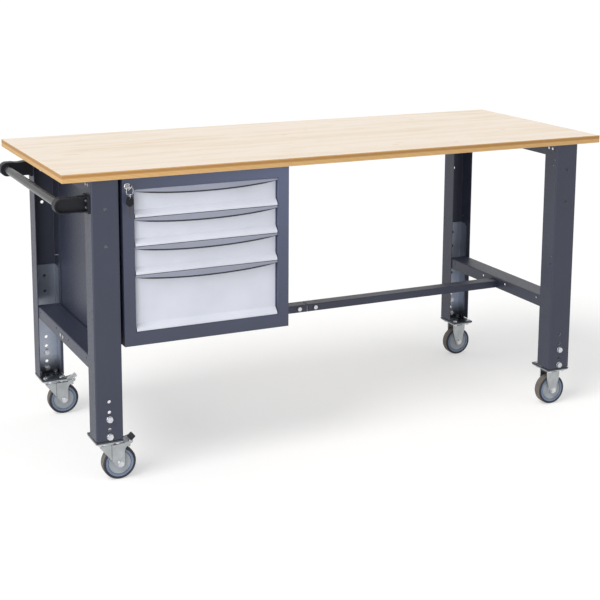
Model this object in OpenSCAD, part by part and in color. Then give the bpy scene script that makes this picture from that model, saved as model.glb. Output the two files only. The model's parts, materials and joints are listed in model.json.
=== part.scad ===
// Mobile work table: a plywood worktop on a bolted sheet steel frame, with a drawer
// cabinet, a push handle and four casters. Millimetres, +Z up. The origin is on the
// floor at the middle of the table's outline. +X runs along the table, away from the
// push handle, and the drawers open towards -Y.

/* [Worktop] */
// Length of the worktop
worktop_l = 1800; // [1500:10:2400]
// Depth of the worktop, front to back
worktop_d = 700; // [620:10:900]
// Thickness of the plywood
worktop_t = 24; // [18:1:40]
// Height of the upper face above the floor
worktop_h = 915; // [900:5:1000]

/* [Legs] */
// Width of a leg's web
leg_w = 80; // [76:1:90]
// Depth of a leg's flanges
leg_d = 64; // [58:1:80]
// Sheet thickness of the legs
leg_t = 2.5; // [2:0.1:3]
// Outer radius of the bends in the legs
leg_bend_r = 4; // [3.5:0.1:6]
// Distance from the worktop's end to a leg
leg_inset_x = 82; // [70:1:120]
// Distance from the worktop's long edge to a leg's web
leg_inset_y = 6; // [4:1:12]
// Diameter of the accessory holes in a leg's web
accessory_hole_d = 10; // [8:0.5:12]
// Distance from the leg's top to the first accessory hole
accessory_hole_drop = 82; // [70:1:100]
// Distance between the two accessory holes
accessory_pitch = 106; // [80:1:130]

/* [Foot inserts] */
// Sheet thickness of an insert
insert_t = 3; // [2.5:0.1:4]
// Depth of an insert's flanges
insert_d = 40; // [34:1:42]
// Height of an insert above its foot plate
insert_h = 363; // [345:1:380]
// Pitch of the height setting holes
height_pitch = 52; // [48:1:56]
// Height of the lowest setting hole above the leg's lower end
height_first = 11; // [10:1:14]
// Step between the two rows of setting holes
height_step = 21; // [19:1:24]
// Thickness of a foot plate
foot_plate_t = 5; // [4:0.5:8]
// Length of a foot plate, front to back
foot_plate_l = 95; // [90:1:100]
// Diameter of the hole in the middle of a foot plate
foot_plate_hole_d = 30; // [20:1:34]

/* [Rails] */
// Height of a top rail
top_rail_h = 40; // [34:1:50]
// Distance from the leg's web to the end of a top rail
top_rail_start = 19; // [16:1:21]
// Sheet thickness of the rails and the stretcher
rail_t = 2; // [1.5:0.1:2.4]
// Outer radius of the bends in the stretcher
stretcher_bend_r = 3; // [2.6:0.1:4]
// Height of a cross rail
cross_rail_h = 37; // [34:1:45]
// Height of a cross rail's upper face above the floor
cross_rail_z = 373; // [366:1:376]
// Distance from the leg's web to the end of a cross rail
cross_rail_start = 46; // [44:1:52]
// Diameter of the middle pair of holes in a cross rail
rail_hole_d = 8; // [6:0.5:9]
// Distance between the middle pair of holes
rail_hole_pitch = 136; // [120:1:160]
// Diameter of the outer pair of holes in a cross rail
rail_end_hole_d = 6; // [4:0.5:8]
// Distance between the outer pair of holes
rail_end_hole_pitch = 508; // [440:1:520]
// Depth of the stretcher, front to back
stretcher_d = 45; // [42:1:55]
// Height of the stretcher
stretcher_h = 24; // [21:1:26]
// Distance from the cross rail's upper face down to the stretcher's
stretcher_drop = 10; // [8:1:12]
// Length of the splice inside the stretcher
splice_l = 160; // [150:1:220]
// Distance from the stretcher's joint to each splice bolt
splice_bolt_out = 29; // [24:1:40]
// Gap between the two halves of the stretcher
stretcher_gap = 3; // [2:0.5:5]
// Thickness of the left side panel
panel_t = 1.5; // [1:0.1:2]

/* [Handle] */
// Diameter of the handle bar
handle_d = 25; // [22:1:28]
// Distance from the leg to the bar's axis
handle_out = 77; // [70:1:90]
// Distance from the leg's top down to the bar's axis
handle_drop = 67; // [62:1:80]
// Diameter of a handle bracket's round end
bracket_boss_d = 44; // [40:1:46]
// Width of a handle bracket's arm
bracket_w = 30; // [28:1:33]
// Thickness of a handle bracket's rim
bracket_rim = 3.5; // [3:0.1:5]
// Width of a handle bracket's foot
bracket_foot_w = 47; // [44:1:50]
// Height of a handle bracket's foot
bracket_foot_h = 50; // [48:1:56]
// Thickness of a handle bracket's foot
bracket_foot_t = 8; // [6:0.5:10]

/* [Cabinet] */
// Width of the cabinet
cabinet_w = 510; // [460:5:600]
// Height of the cabinet
cabinet_h = 485; // [440:5:490]
// Depth of the cabinet
cabinet_d = 560; // [555:5:580]
// Gap between the left legs and the cabinet
cabinet_gap = 10; // [8:1:20]
// Width of the front frame's sides
border_side = 34; // [33:1:44]
// Height of the front frame's upper border
border_top = 32; // [30:1:40]
// Height of the front frame's lower border
border_bottom = 40; // [30:1:50]
// Depth of the front frame's returns
border_depth = 18; // [17:0.5:19]
// Sheet thickness of the cabinet
cabinet_t = 1.5; // [1:0.1:2]

/* [Drawers] */
// Gap around a drawer front
front_gap = 2.5; // [1.5:0.1:3]
// Distance from the frame's face back to a drawer's face
front_recess = 15; // [12:0.5:16]
// Sheet thickness of a drawer front
front_t = 1.5; // [1:0.1:2]
// Height of the flare along a drawer front's lower edge
flare_h = 20; // [16:1:24]
// Height of the upright lip under the flare
flare_lip_h = 6; // [4:0.5:8]
// Depth of the grip at the middle of a drawer front
grip_drop = 22; // [18:1:26]
// Depth of the grip at its ends
grip_end_drop = 5; // [4:0.5:8]
// Length of a drawer's runners
runner_l = 500; // [450:10:500]
// Height of a drawer's runners
runner_h = 35; // [32:1:38]
// Sheet thickness of a drawer tray
tray_t = 1.2; // [1:0.1:1.5]
// Depth of a drawer tray
tray_l = 510; // [480:5:515]

/* [Lock] */
// Diameter of the lock's rim
lock_rim_d = 19; // [18:0.5:22]
// Diameter of the lock's housing
lock_d = 16; // [15:0.5:17]
// Distance from the cabinet's side to the lock's axis
lock_x = 14.5; // [13.5:0.5:16]
// Distance from the cabinet's top down to the lock's axis
lock_drop = 22; // [20:0.5:24]
// Radius of the cam's peg about the lock's axis
cam_r = 5; // [4:0.5:5]

/* [Casters] */
// Diameter of a wheel
wheel_d = 100; // [95:1:102]
// Width of a tyre
tyre_w = 32; // [28:1:34]
// Outer radius of the wheel's centre
hub_r = 38; // [34:1:40]
// Overall height of a caster
caster_h = 128; // [127:1:132]
// Thickness of a caster's plate
caster_plate_t = 3; // [2.5:0.5:4]
// Distance from the swivel's axis to the wheel's axis
caster_trail = 38; // [34:1:40]
// Width of a fork over its sides
fork_w = 48; // [46:1:50]
// Sheet thickness of a fork
fork_t = 2.5; // [2:0.1:3]
// Diameter of a wheel's axle
axle_d = 12; // [10:0.5:12]
// Reach of the fork ahead of the swivel's axis
fork_lead = 22; // [18:1:24]
// Reach of the fork's tail behind the swivel's axis
fork_tail = 76; // [74:1:78]
// Width of the brake pedal's pad
pedal_w = 36; // [30:1:40]
// Length of the brake pedal's pad
pedal_l = 19; // [16:1:20]
// Slope of the brake pedal
pedal_slope = 38; // [34:1:42]

/* [Hidden] */
$fn = 40;

// Overrun of every cut
cut = 1;
// Gap between sheets that lie against each other
seat_gap = 0.1;
// Radial gap of turning and sliding fits
fit_gap = 0.05;
// Gap between parts that slide past each other
slide_gap = 0.4;

// Places of the frame
leg_top = worktop_h - worktop_t;
foot_gap = 3;
foot_top = caster_h + foot_plate_t;
leg_bottom = foot_top + foot_gap;
leg_x_near = leg_inset_x + leg_w / 2;
leg_x_far = worktop_l - leg_x_near;
inner_w = leg_w - 2 * leg_t - 2 * seat_gap;
middle_y = worktop_d / 2;
middle_x = (leg_x_near + leg_x_far) / 2;

// Fasteners: shank diameter, head width and head height
m5_d = 5;
m5_head_d = 9;
m5_head_h = 2.6;
m6_d = 6;
m6_head_d = 10.5;
m6_head_h = 3.2;
m8_d = 8;
m8_head_w = 13;
m8_head_h = 5.3;
m8_nut_h = 6.5;
m10_d = 10;
m10_head_w = 16;
m10_head_h = 6;
m10_nut_h = 8;
m10_washer_d = 19;
m10_washer_t = 1.5;
hole_play = 0.5;
nut_play = 0.2;
screw_grip = 12;
nut_end = 3;

// Small holes in the legs' flanges
flange_hole_d = 4.5;
flange_hole_back = 12;
flange_hole_z = 520;
flange_hole_pitch = 25;
inner_hole_places = [[13, 50], [20, 69]];
rail_screw_places = [22, 42];
rail_screw_drop = 14;
insert_chamfer = 10;
setting_count = 7;

// Side panel
panel_side = 24;
panel_under = 5;
panel_foot = 9;
panel_cut_w = 50;
panel_cut_top = 3;
panel_screw_back = 32;
panel_screw_drops = [55, 360];

// Screws up into the worktop
worktop_screw_in = 14;
worktop_screw_d = 4;
rail_worktop_screws = [150, 270];
cabinet_screw_x = 60;
cabinet_screw_y = 60;

// Stretcher
rail_side = inner_w / 2;
stretcher_top = cross_rail_z - stretcher_drop;
stretcher_start = leg_x_near + rail_side;
stretcher_end = leg_x_far - rail_side;
tab_h = 16;
tab_t = rail_t;
end_screw_out = 12.5;
end_screw_drop = 8.5;
slot_w = 4;
slot_l = 10;
slot_out = 45;
slot_back = 10;
splice_h = stretcher_h - rail_t - seat_gap;
splice_d = stretcher_d - 2 * rail_t - 2 * seat_gap;

// Handle
handle_x = leg_inset_x - handle_out;
handle_z = leg_top - handle_drop;
bracket_inset = 5;
bracket_y = leg_inset_y + bracket_inset;
bracket_foot_lead = 9;
bracket_socket = 12;
bracket_web = 2;
bracket_arm_y = bracket_y + bracket_foot_lead;
bracket_slope = 2;
handle_screw_out = 10;
handle_screw_in = 8;
handle_screw_l = 20;
handle_screw_y = bracket_arm_y + handle_screw_in;

// Cabinet
cabinet_x = leg_inset_x + leg_w + cabinet_gap;
cabinet_y = leg_inset_y;
cabinet_z = leg_top - cabinet_h;
opening_x = cabinet_x + border_side;
opening_w = cabinet_w - 2 * border_side;
opening_z = cabinet_z + border_bottom;
opening_h = cabinet_h - border_bottom - border_top;
post_w = 20;
post_rear = 36;
post_bend_r = 4;
lock_bar_back = 22;
lock_bar_y = cabinet_y + lock_bar_back;
lock_bar_t = 3;

// Drawers, the upper one first, as shares of the opening's height
drawer_shares = [0.2, 0.2, 0.2, 0.4];
drawer_top_shares = [1, 0.8, 0.6, 0.4];
front_y = cabinet_y + front_recess;
front_w = opening_w - 2 * front_gap;
front_z_gap = 1.2;
front_side_return = 4;
flare_y = cabinet_y + front_t / 2;
grip_slope = 3;
grip_power = 0.7;
grip_steps = 24;
runner_space = 13;
tray_under = 8;
tray_over = 14;
tray_front_y = front_y + front_t;
runner_over = 10;
runner_t = 1.2;
runner_back = 12;
runner_y = lock_bar_y + runner_back;
runner_mid_in = runner_t + slide_gap;
runner_mid_h = runner_h - 2 * runner_t - 2 * slide_gap;
runner_tray_h = runner_mid_h - 2 * runner_t - 2 * slide_gap;

// Lock and locking bar
lock_axis_x = cabinet_x + lock_x;
lock_axis_z = leg_top - lock_drop;
lock_rim_t = 2.5;
lock_back = 16;
lock_nut_d = 21;
lock_nut_h = 3;
core_d = 12;
core_out = 1;
cam_t = 2;
cam_w = 9;
peg_d = 3;
lock_bar_w = 9;
lock_bar_in = 3;
lock_bar_foot = 10;
lock_plate_w = 20;
lock_plate_h = 18;
lock_slot_play = 0.6;
tab_w = 13;
latch_h = 6;
catch_h = 8;
catch_w = 8;
catch_l = 5;
catch_back = 5;

// Keys
key_t = 2.2;
key_blade_h = 7;
key_blade_l = 17;
key_bow_r = 11;
key_bow_out = 16;
key_hole_r = 2.4;
key_hole_back = 4.9;
key_tilt = 45;
// Distance from the cabinet's face out to the middle of the key ring's hole
hole_out = lock_rim_t + core_out + key_bow_out + key_bow_r - key_hole_back - key_hole_r;
ring_w = 19;
ring_drop = 19;
ring_corner_r = 5;
ring_wire_r = 0.8;
link_r = 6;
spare_w = 23;
spare_h = 28;
spare_t = 4;
spare_hole_r = 2.4;
spare_hole_drop = 5;
spare_play = 0.6;
spare_blade_w = 5;
spare_blade_l = 31;
spare_blade_t = 2;

// Casters
wheel_r = wheel_d / 2;
plate_bolt_in = 14;
race_d = 58;
race_h = 4;
race_gap = 0.3;
king_d = 12;
king_head_d = 20;
king_head_h = 4;
crown_t = 3.5;
crown_drop = 19;
crown_z = caster_h - crown_drop;
crown_top = crown_z + crown_t;
fork_tip_r = 12.5;
fork_lead_drop = 5;
tail_rise = 5;
neck_shares = [0.65, 0.78, 0.97];
neck_out_share = 0.2;
pedal_in = 13;
pedal_pivot_drop = 3.5;
pedal_pin_d = 6;
pedal_barrel_d = 11;
pedal_arm_l = 28;
pedal_arm_w = 22;
pedal_arm_t = 3.5;
pedal_pad_t = 6.5;
nose_r = 4;
nose_w = 26;
nose_gap = 3.2;
nose_angle = 58;
pivot_x = fork_tail - pedal_in;
pivot_z = crown_top - pedal_pivot_drop;
nose_out = wheel_r + nose_gap + nose_r;
nose_x = caster_trail + nose_out * cos(nose_angle);
nose_z = wheel_r + nose_out * sin(nose_angle);
tyre_shoulder_r = 5;
hub_boss_r = 12;
hub_gap = 0.3;
hub_cover_r = 29;
hub_groove_w = 2;
hub_cover_in = 2;
hub_groove_in = 5;
hub_rim_in = 1.5;
axle_head_w = 17;
axle_head_h = 5;
bracket_top_w = 52;
bracket_slot_w = 21;
bracket_slot_h = 4;
bracket_slot_drop = 12;

// Reach of the whole table, which puts the origin at the middle of its outline
reach_left = min(0, handle_x - bracket_boss_d / 2);
reach_front = min(0, cabinet_y - key_bow_out - key_bow_r - core_out - lock_rim_t);
reach_rear = max(worktop_d, worktop_d - leg_inset_y + m10_washer_t + m10_head_h);
origin_x = (reach_left + worktop_l) / 2;
origin_y = (reach_front + reach_rear) / 2;

// Colours
steel_blue = [0.29, 0.31, 0.38];
zinc = [0.66, 0.69, 0.70];
light_grey = [0.84, 0.85, 0.89];
birch = [0.93, 0.86, 0.74];
black = [0.10, 0.10, 0.12];
bar_grey = [0.30, 0.30, 0.31];
rubber_grey = [0.27, 0.26, 0.26];
hub_grey = [0.60, 0.64, 0.70];

// Places the drawn shapes so that the origin is at the middle of the outline
module placed(paint) {
    color(paint) translate([-origin_x, -origin_y, 0]) children();
}

// A corner's own frame: x along the table from the leg's centre line, y from its web
module at_corner(right, rear) {
    translate([right ? worktop_l : 0, rear ? worktop_d : 0, 0])
        mirror([right ? 1 : 0, 0, 0])
            mirror([0, rear ? 1 : 0, 0])
                translate([leg_x_near, leg_inset_y, 0]) children();
}

// Centre of a caster's plate
module at_caster(right, rear) {
    plate_y = leg_inset_y + foot_plate_l / 2;
    translate([right ? leg_x_far : leg_x_near, rear ? worktop_d - plate_y : plate_y, 0])
        children();
}

// Cylinder along +Y from y = 0
module along_y(d, l) {
    rotate([-90, 0, 0]) cylinder(d = d, h = l);
}

// Cylinder along +X from x = 0
module along_x(d, l) {
    rotate([0, 90, 0]) cylinder(d = d, h = l);
}

// Hexagon of a given width across its flats, along +Z
module hexagon(w, h) {
    cylinder(d = w / cos(30), h = h, $fn = 6);
}

// Screw along +Z with a round head below z = 0
module round_screw(d, l, head_d, head_h) {
    cylinder(d = d, h = l);
    translate([0, 0, -head_h]) cylinder(d = head_d, h = head_h);
}

// Bolt along +Z with a hexagon head below z = 0
module hex_bolt(d, l, head_w, head_h) {
    cylinder(d = d, h = l);
    translate([0, 0, -head_h]) hexagon(head_w, head_h);
}

// Hexagon nut from z = 0 for a shank of diameter d
module nut(d, w, h) {
    difference() {
        hexagon(w, h);
        translate([0, 0, -cut]) cylinder(d = d + nut_play, h = h + 2 * cut);
    }
}

// Channel bent from sheet: the web on y = 0, centred on x = 0, flanges towards +Y
module channel_2d(w, d, t, r) {
    translate([r - w / 2, 0]) square([w - 2 * r, t]);
    for (side = [-1, 1]) scale([side, 1]) {
        translate([w / 2 - t, r]) square([t, d - r]);
        translate([w / 2 - r, r]) difference() {
            circle(r);
            circle(r - t);
            translate([-r - cut, 0]) square([2 * (r + cut), r + cut]);
            translate([-r - cut, -r - cut]) square([r + cut, 2 * (r + cut)]);
        }
    }
}

// Legs
module leg(handle_side) {
    difference() {
        translate([0, 0, leg_bottom]) linear_extrude(leg_top - leg_bottom)
            channel_2d(leg_w, leg_d, leg_t, leg_bend_r);
        for (i = [0, 1]) web_hole(leg_top - accessory_hole_drop - i * accessory_pitch, accessory_hole_d);
        for (i = [0 : 2]) web_hole(leg_bottom + height_first + i * height_pitch, m10_d + hole_play);
        for (i = [0, 1])
            web_hole(leg_bottom + height_first + height_step + i * height_pitch, m10_d + hole_play);
        for (i = [0, 1]) translate([0, flange_hole_back, flange_hole_z - i * flange_hole_pitch])
            flange_cut(flange_hole_d);
        for (place = inner_hole_places) translate([0, place[0], leg_top - place[1]])
            inner_flange_cut(flange_hole_d);
        for (back = rail_screw_places) translate([0, back, leg_top - rail_screw_drop])
            flange_cut(m5_d + hole_play);
        if (handle_side) {
            for (drop = panel_screw_drops) translate([0, panel_screw_back, leg_top - drop])
                inner_flange_cut(m5_d + hole_play);
            for (side = [-1, 1])
                translate([0, handle_screw_y - leg_inset_y, handle_z + side * handle_screw_out])
                    mirror([1, 0, 0]) inner_flange_cut(m5_d + hole_play);
        }
    }
}

module web_hole(z, d) {
    translate([0, -cut, z]) along_y(d, leg_t + 2 * cut);
}

module flange_cut(d) {
    translate([-leg_w / 2 - cut, 0, 0]) along_x(d, leg_w + 2 * cut);
}

module inner_flange_cut(d) {
    translate([leg_w / 2 - leg_t - cut, 0, 0]) along_x(d, leg_t + 2 * cut);
}

module front_left_leg() {
    placed(steel_blue) at_corner(false, false) leg(true);
}

module rear_left_leg() {
    placed(steel_blue) at_corner(false, true) leg(true);
}

module front_right_leg() {
    placed(steel_blue) at_corner(true, false) leg(false);
}

module rear_right_leg() {
    placed(steel_blue) at_corner(true, true) leg(false);
}

// Height setting inserts with their foot plates
module foot() {
    difference() {
        union() {
            translate([0, leg_t, foot_top]) linear_extrude(insert_h)
                channel_2d(inner_w, insert_d, insert_t, leg_bend_r);
            translate([-leg_w / 2, 0, caster_h]) cube([leg_w, foot_plate_l, foot_plate_t]);
        }
        for (i = [0 : setting_count - 1])
            translate([0, leg_t - cut, leg_bottom + height_first + i * height_pitch])
                along_y(m10_d + hole_play, insert_t + 2 * cut);
        for (i = [0, 1])
            translate([0, leg_t - cut, leg_bottom + height_first + height_step + i * height_pitch])
                along_y(m10_d + hole_play, insert_t + 2 * cut);
        translate([0, 0, foot_top + insert_h]) insert_chamfer_cut();
        translate([0, foot_plate_l / 2, caster_h - cut])
            cylinder(d = foot_plate_hole_d, h = foot_plate_t + 2 * cut);
        translate([0, foot_plate_l / 2, caster_h - cut]) plate_bolt_places()
            cylinder(d = m8_d + hole_play, h = foot_plate_t + 2 * cut);
    }
}

module insert_chamfer_cut() {
    translate([-inner_w / 2 - cut, leg_t + insert_d, 0]) rotate([90, 0, 90])
        linear_extrude(inner_w + 2 * cut)
            polygon([[-insert_chamfer, 0], [0, -insert_chamfer], [cut, -insert_chamfer], [cut, cut],
                [-insert_chamfer, cut]]);
}

module plate_bolt_places() {
    for (x = [-1, 1], y = [-1, 1])
        translate([x * (leg_w / 2 - plate_bolt_in), y * (foot_plate_l / 2 - plate_bolt_in), 0])
            children();
}

module front_left_foot() {
    placed(zinc) at_corner(false, false) foot();
}

module rear_left_foot() {
    placed(zinc) at_corner(false, true) foot();
}

module front_right_foot() {
    placed(zinc) at_corner(true, false) foot();
}

module rear_right_foot() {
    placed(zinc) at_corner(true, true) foot();
}

// Worktop
module worktop() {
    placed(birch) difference() {
        translate([0, 0, leg_top]) cube([worktop_l, worktop_d, worktop_t]);
        worktop_screw_places() cylinder(d = worktop_screw_d + nut_play, h = worktop_screw_in + hole_play);
    }
}

// Screws from below, each placed on the worktop's underside
module worktop_screw_places() {
    for (x = [leg_x_near, leg_x_far], y = rail_worktop_screws, side = [-1, 1])
        translate([x, middle_y + side * y, leg_top]) children();
    cabinet_screw_places() children();
}

module cabinet_screw_places() {
    for (x = [cabinet_screw_x, cabinet_w - cabinet_screw_x])
        for (y = [cabinet_screw_y, cabinet_d - cabinet_screw_y])
            translate([cabinet_x + x, cabinet_y + y, leg_top]) children();
}

// Rails between the legs
module top_rail() {
    rail_l = worktop_d - 2 * (leg_inset_y + top_rail_start);
    difference() {
        translate([0, leg_inset_y + top_rail_start, leg_top]) rotate([-90, 0, 0])
            linear_extrude(rail_l) channel_2d(inner_w, top_rail_h, rail_t, leg_bend_r);
        for (y = rail_worktop_screws, side = [-1, 1])
            translate([0, middle_y + side * y, leg_top - rail_t - cut])
                cylinder(d = worktop_screw_d + hole_play, h = rail_t + 2 * cut);
        for (back = rail_screw_places, rear = [0, 1])
            translate([-leg_w / 2, rear ? worktop_d - leg_inset_y - back : leg_inset_y + back,
                leg_top - rail_screw_drop]) along_x(m5_d + hole_play, leg_w);
    }
}

module left_top_rail() {
    placed(steel_blue) translate([leg_x_near, 0, 0]) top_rail();
}

module right_top_rail() {
    placed(steel_blue) translate([leg_x_far, 0, 0]) top_rail();
}

module cross_rail() {
    rail_l = worktop_d - 2 * (leg_inset_y + cross_rail_start);
    hole_z = cross_rail_z - cross_rail_h / 3;
    difference() {
        translate([0, leg_inset_y + cross_rail_start, cross_rail_z]) rotate([-90, 0, 0])
            linear_extrude(rail_l) channel_2d(inner_w, cross_rail_h, rail_t, leg_bend_r);
        for (side = [-1, 1]) {
            translate([-leg_w / 2, middle_y + side * rail_hole_pitch / 2, hole_z])
                along_x(rail_hole_d, leg_w);
            translate([-leg_w / 2, middle_y + side * rail_end_hole_pitch / 2, hole_z])
                along_x(rail_end_hole_d, leg_w);
            translate([-leg_w / 2, middle_y + side * end_screw_out, stretcher_top - end_screw_drop])
                along_x(m6_d + hole_play, leg_w);
        }
    }
}

module left_cross_rail() {
    placed(steel_blue) translate([leg_x_near, 0, 0]) cross_rail();
}

module right_cross_rail() {
    placed(steel_blue) translate([leg_x_far, 0, 0]) cross_rail();
}

module left_side_panel() {
    panel_bottom = cross_rail_z - cross_rail_h + panel_foot;
    placed(steel_blue) difference() {
        translate([leg_inset_x + leg_w, leg_inset_y + panel_side, panel_bottom])
            cube([panel_t, worktop_d - 2 * (leg_inset_y + panel_side), leg_top - panel_under - panel_bottom]);
        translate([leg_inset_x + leg_w - cut, middle_y - panel_cut_w / 2, panel_bottom - cut])
            cube([panel_t + 2 * cut, panel_cut_w, stretcher_top + panel_cut_top - panel_bottom + cut]);
        for (drop = panel_screw_drops, rear = [0, 1])
            translate([leg_inset_x + leg_w - cut,
                rear ? worktop_d - leg_inset_y - panel_screw_back : leg_inset_y + panel_screw_back,
                leg_top - drop]) along_x(m5_d + hole_play, panel_t + 2 * cut);
    }
}

// Stretcher in two halves over a splice
module stretcher_channel(w, h, x_from, x_to) {
    translate([x_from, middle_y, stretcher_top]) rotate([90, 180, 90])
        linear_extrude(x_to - x_from) channel_2d(w, h, rail_t, stretcher_bend_r);
}

module stretcher_half(x_from, x_to, tab_x) {
    difference() {
        union() {
            stretcher_channel(stretcher_d, stretcher_h, x_from, x_to);
            translate([tab_x, middle_y - stretcher_d / 2 + rail_t, stretcher_top - rail_t - tab_h])
                cube([tab_t, stretcher_d - 2 * rail_t, tab_h + rail_t / 2]);
        }
        stretcher_cuts();
    }
}

module stretcher_cuts() {
    for (side = [-1, 1]) {
        translate([middle_x + side * splice_bolt_out, middle_y - stretcher_d / 2 - cut,
            stretcher_top - stretcher_h / 2]) along_y(m8_d + hole_play, stretcher_d / 2);
        translate([middle_x + side * slot_out - slot_l / 2,
            middle_y + stretcher_d / 2 - slot_back - slot_w / 2, stretcher_top - rail_t - cut])
            cube([slot_l, slot_w, rail_t + 2 * cut]);
        translate([stretcher_start - cut, middle_y + side * end_screw_out, stretcher_top - end_screw_drop])
            along_x(m6_d + hole_play, stretcher_end - stretcher_start + 2 * cut);
    }
}

module stretcher_left() {
    placed(steel_blue)
        stretcher_half(stretcher_start, middle_x - stretcher_gap / 2, stretcher_start);
}

module stretcher_right() {
    placed(steel_blue)
        stretcher_half(middle_x + stretcher_gap / 2, stretcher_end, stretcher_end - tab_t);
}

module stretcher_splice() {
    placed(zinc) difference() {
        translate([0, 0, -rail_t - seat_gap])
            stretcher_channel(splice_d, splice_h, middle_x - splice_l / 2, middle_x + splice_l / 2);
        for (side = [-1, 1]) translate([middle_x + side * splice_bolt_out,
            middle_y - stretcher_d / 2 - cut, stretcher_top - stretcher_h / 2])
            along_y(m8_d + hole_play, stretcher_d / 2);
    }
}

// Bolts and screws of the frame
module frame_fasteners() {
    placed(zinc) {
        for (right = [false, true], rear = [false, true]) at_corner(right, rear) {
            corner_bolts();
            rail_screws(right);
        }
        worktop_screws();
        stretcher_fasteners();
        handle_screws();
    }
}

module corner_bolts() {
    for (i = [0, 1]) translate([0, 0, leg_bottom + height_first + i * height_pitch]) rotate([-90, 0, 0]) {
        translate([0, 0, -m10_washer_t]) {
            hex_bolt(m10_d, m10_washer_t + leg_t + insert_t + m10_nut_h + nut_end, m10_head_w, m10_head_h);
            cylinder(d = m10_washer_d, h = m10_washer_t);
        }
        translate([0, 0, leg_t + insert_t]) nut(m10_d, m10_head_w, m10_nut_h);
    }
}

module rail_screws(right) {
    for (back = rail_screw_places) translate([0, back, leg_top - rail_screw_drop]) {
        translate([-leg_w / 2, 0, 0]) rotate([0, 90, 0])
            round_screw(m5_d, screw_grip, m5_head_d, m5_head_h);
        if (right) translate([leg_w / 2, 0, 0]) rotate([0, -90, 0])
            round_screw(m5_d, screw_grip, m5_head_d, m5_head_h);
    }
    if (!right) for (drop = panel_screw_drops)
        translate([leg_w / 2 + panel_t, panel_screw_back, leg_top - drop]) rotate([0, -90, 0])
            round_screw(m5_d, screw_grip, m5_head_d, m5_head_h);
}

module worktop_screws() {
    for (x = [leg_x_near, leg_x_far], y = rail_worktop_screws, side = [-1, 1])
        translate([x, middle_y + side * y, leg_top - rail_t])
            round_screw(worktop_screw_d, worktop_screw_in + rail_t, m5_head_d, m5_head_h);
    cabinet_screw_places() translate([0, 0, -cabinet_t])
        round_screw(worktop_screw_d, worktop_screw_in + cabinet_t, m5_head_d, m5_head_h);
}

module stretcher_fasteners() {
    screw_l = 2 * rail_side + tab_t + m6_d + nut_end;
    for (side = [-1, 1]) {
        for (right = [0, 1])
            translate([right ? leg_x_far + rail_side : leg_x_near - rail_side,
                middle_y + side * end_screw_out, stretcher_top - end_screw_drop])
                rotate([0, right ? -90 : 90, 0]) {
                    round_screw(m6_d, screw_l, m6_head_d, m6_head_h);
                    translate([0, 0, 2 * rail_side + tab_t]) nut(m6_d, m6_head_d, m6_d);
                }
        translate([middle_x + side * splice_bolt_out, middle_y - stretcher_d / 2,
            stretcher_top - stretcher_h / 2]) rotate([-90, 0, 0]) {
            hex_bolt(m8_d, 2 * rail_t + m8_nut_h + nut_end, m8_head_w, m8_head_h);
            translate([0, 0, 2 * rail_t + seat_gap]) nut(m8_d, m8_head_w, m8_nut_h);
        }
    }
}

module handle_screws() {
    for (rear = [0, 1], side = [-1, 1])
        translate([leg_inset_x - bracket_foot_t, rear ? worktop_d - handle_screw_y : handle_screw_y,
            handle_z + side * handle_screw_out]) rotate([0, 90, 0])
            round_screw(m5_d, handle_screw_l, m5_head_d, m5_head_h);
}

// Push handle
module handle_bar() {
    bar_y = bracket_arm_y + bracket_w - bracket_socket + slide_gap;
    placed(bar_grey) translate([handle_x, bar_y, handle_z]) along_y(handle_d, worktop_d - 2 * bar_y);
}

module handle_bracket() {
    arm_l = handle_out - bracket_foot_t;
    pocket_d = bracket_boss_d - 2 * bracket_rim;
    pocket_deep = bracket_w - bracket_socket - bracket_web;
    difference() {
        union() {
            translate([handle_x, bracket_arm_y, handle_z]) {
                along_y(bracket_boss_d, bracket_w);
                translate([0, 0, -bracket_boss_d / 2]) cube([arm_l, bracket_w, bracket_boss_d]);
            }
            translate([leg_inset_x - bracket_foot_t, bracket_y, handle_z - bracket_foot_h / 2])
                cube([bracket_foot_t, bracket_foot_w, bracket_foot_h]);
        }
        translate([handle_x, bracket_arm_y - cut, handle_z]) {
            along_y(pocket_d, pocket_deep + cut);
            translate([0, 0, -pocket_d / 2]) cube([arm_l, pocket_deep + cut, pocket_d]);
        }
        translate([handle_x, bracket_arm_y + bracket_w - bracket_socket, handle_z])
            along_y(handle_d + 2 * fit_gap, bracket_socket + cut);
        translate([handle_x, bracket_arm_y, handle_z]) bracket_relief(arm_l);
        for (side = [-1, 1])
            translate([leg_inset_x - bracket_foot_t - cut, handle_screw_y,
                handle_z + side * handle_screw_out])
                along_x(m5_d + hole_play, bracket_foot_t + 2 * cut);
    }
}

// The arm is slimmer between its round end and its foot
module bracket_relief(arm_l) {
    for (side = [-1, 1])
        translate([arm_l / 2, -cut, side * (bracket_boss_d / 2 + arm_l - bracket_slope)])
            along_y(2 * arm_l, bracket_w + 2 * cut);
}

module handle_bracket_front() {
    placed(black) handle_bracket();
}

module handle_bracket_rear() {
    placed(black) translate([0, worktop_d, 0]) mirror([0, 1, 0]) handle_bracket();
}

// Cabinet
module cabinet_shell() {
    shell_y = cabinet_y + border_depth;
    shell_d = cabinet_d - border_depth;
    placed(steel_blue) difference() {
        union() {
            difference() {
                translate([cabinet_x, shell_y, cabinet_z]) cube([cabinet_w, shell_d, cabinet_h]);
                translate([cabinet_x + cabinet_t, shell_y - cut, cabinet_z + cabinet_t])
                    cube([cabinet_w - 2 * cabinet_t, shell_d + cut - cabinet_t, cabinet_h - 2 * cabinet_t]);
            }
            posts();
        }
        cabinet_screw_places() translate([0, 0, -cabinet_t - cut])
            cylinder(d = worktop_screw_d + hole_play, h = cabinet_t + 2 * cut);
    }
}

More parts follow.
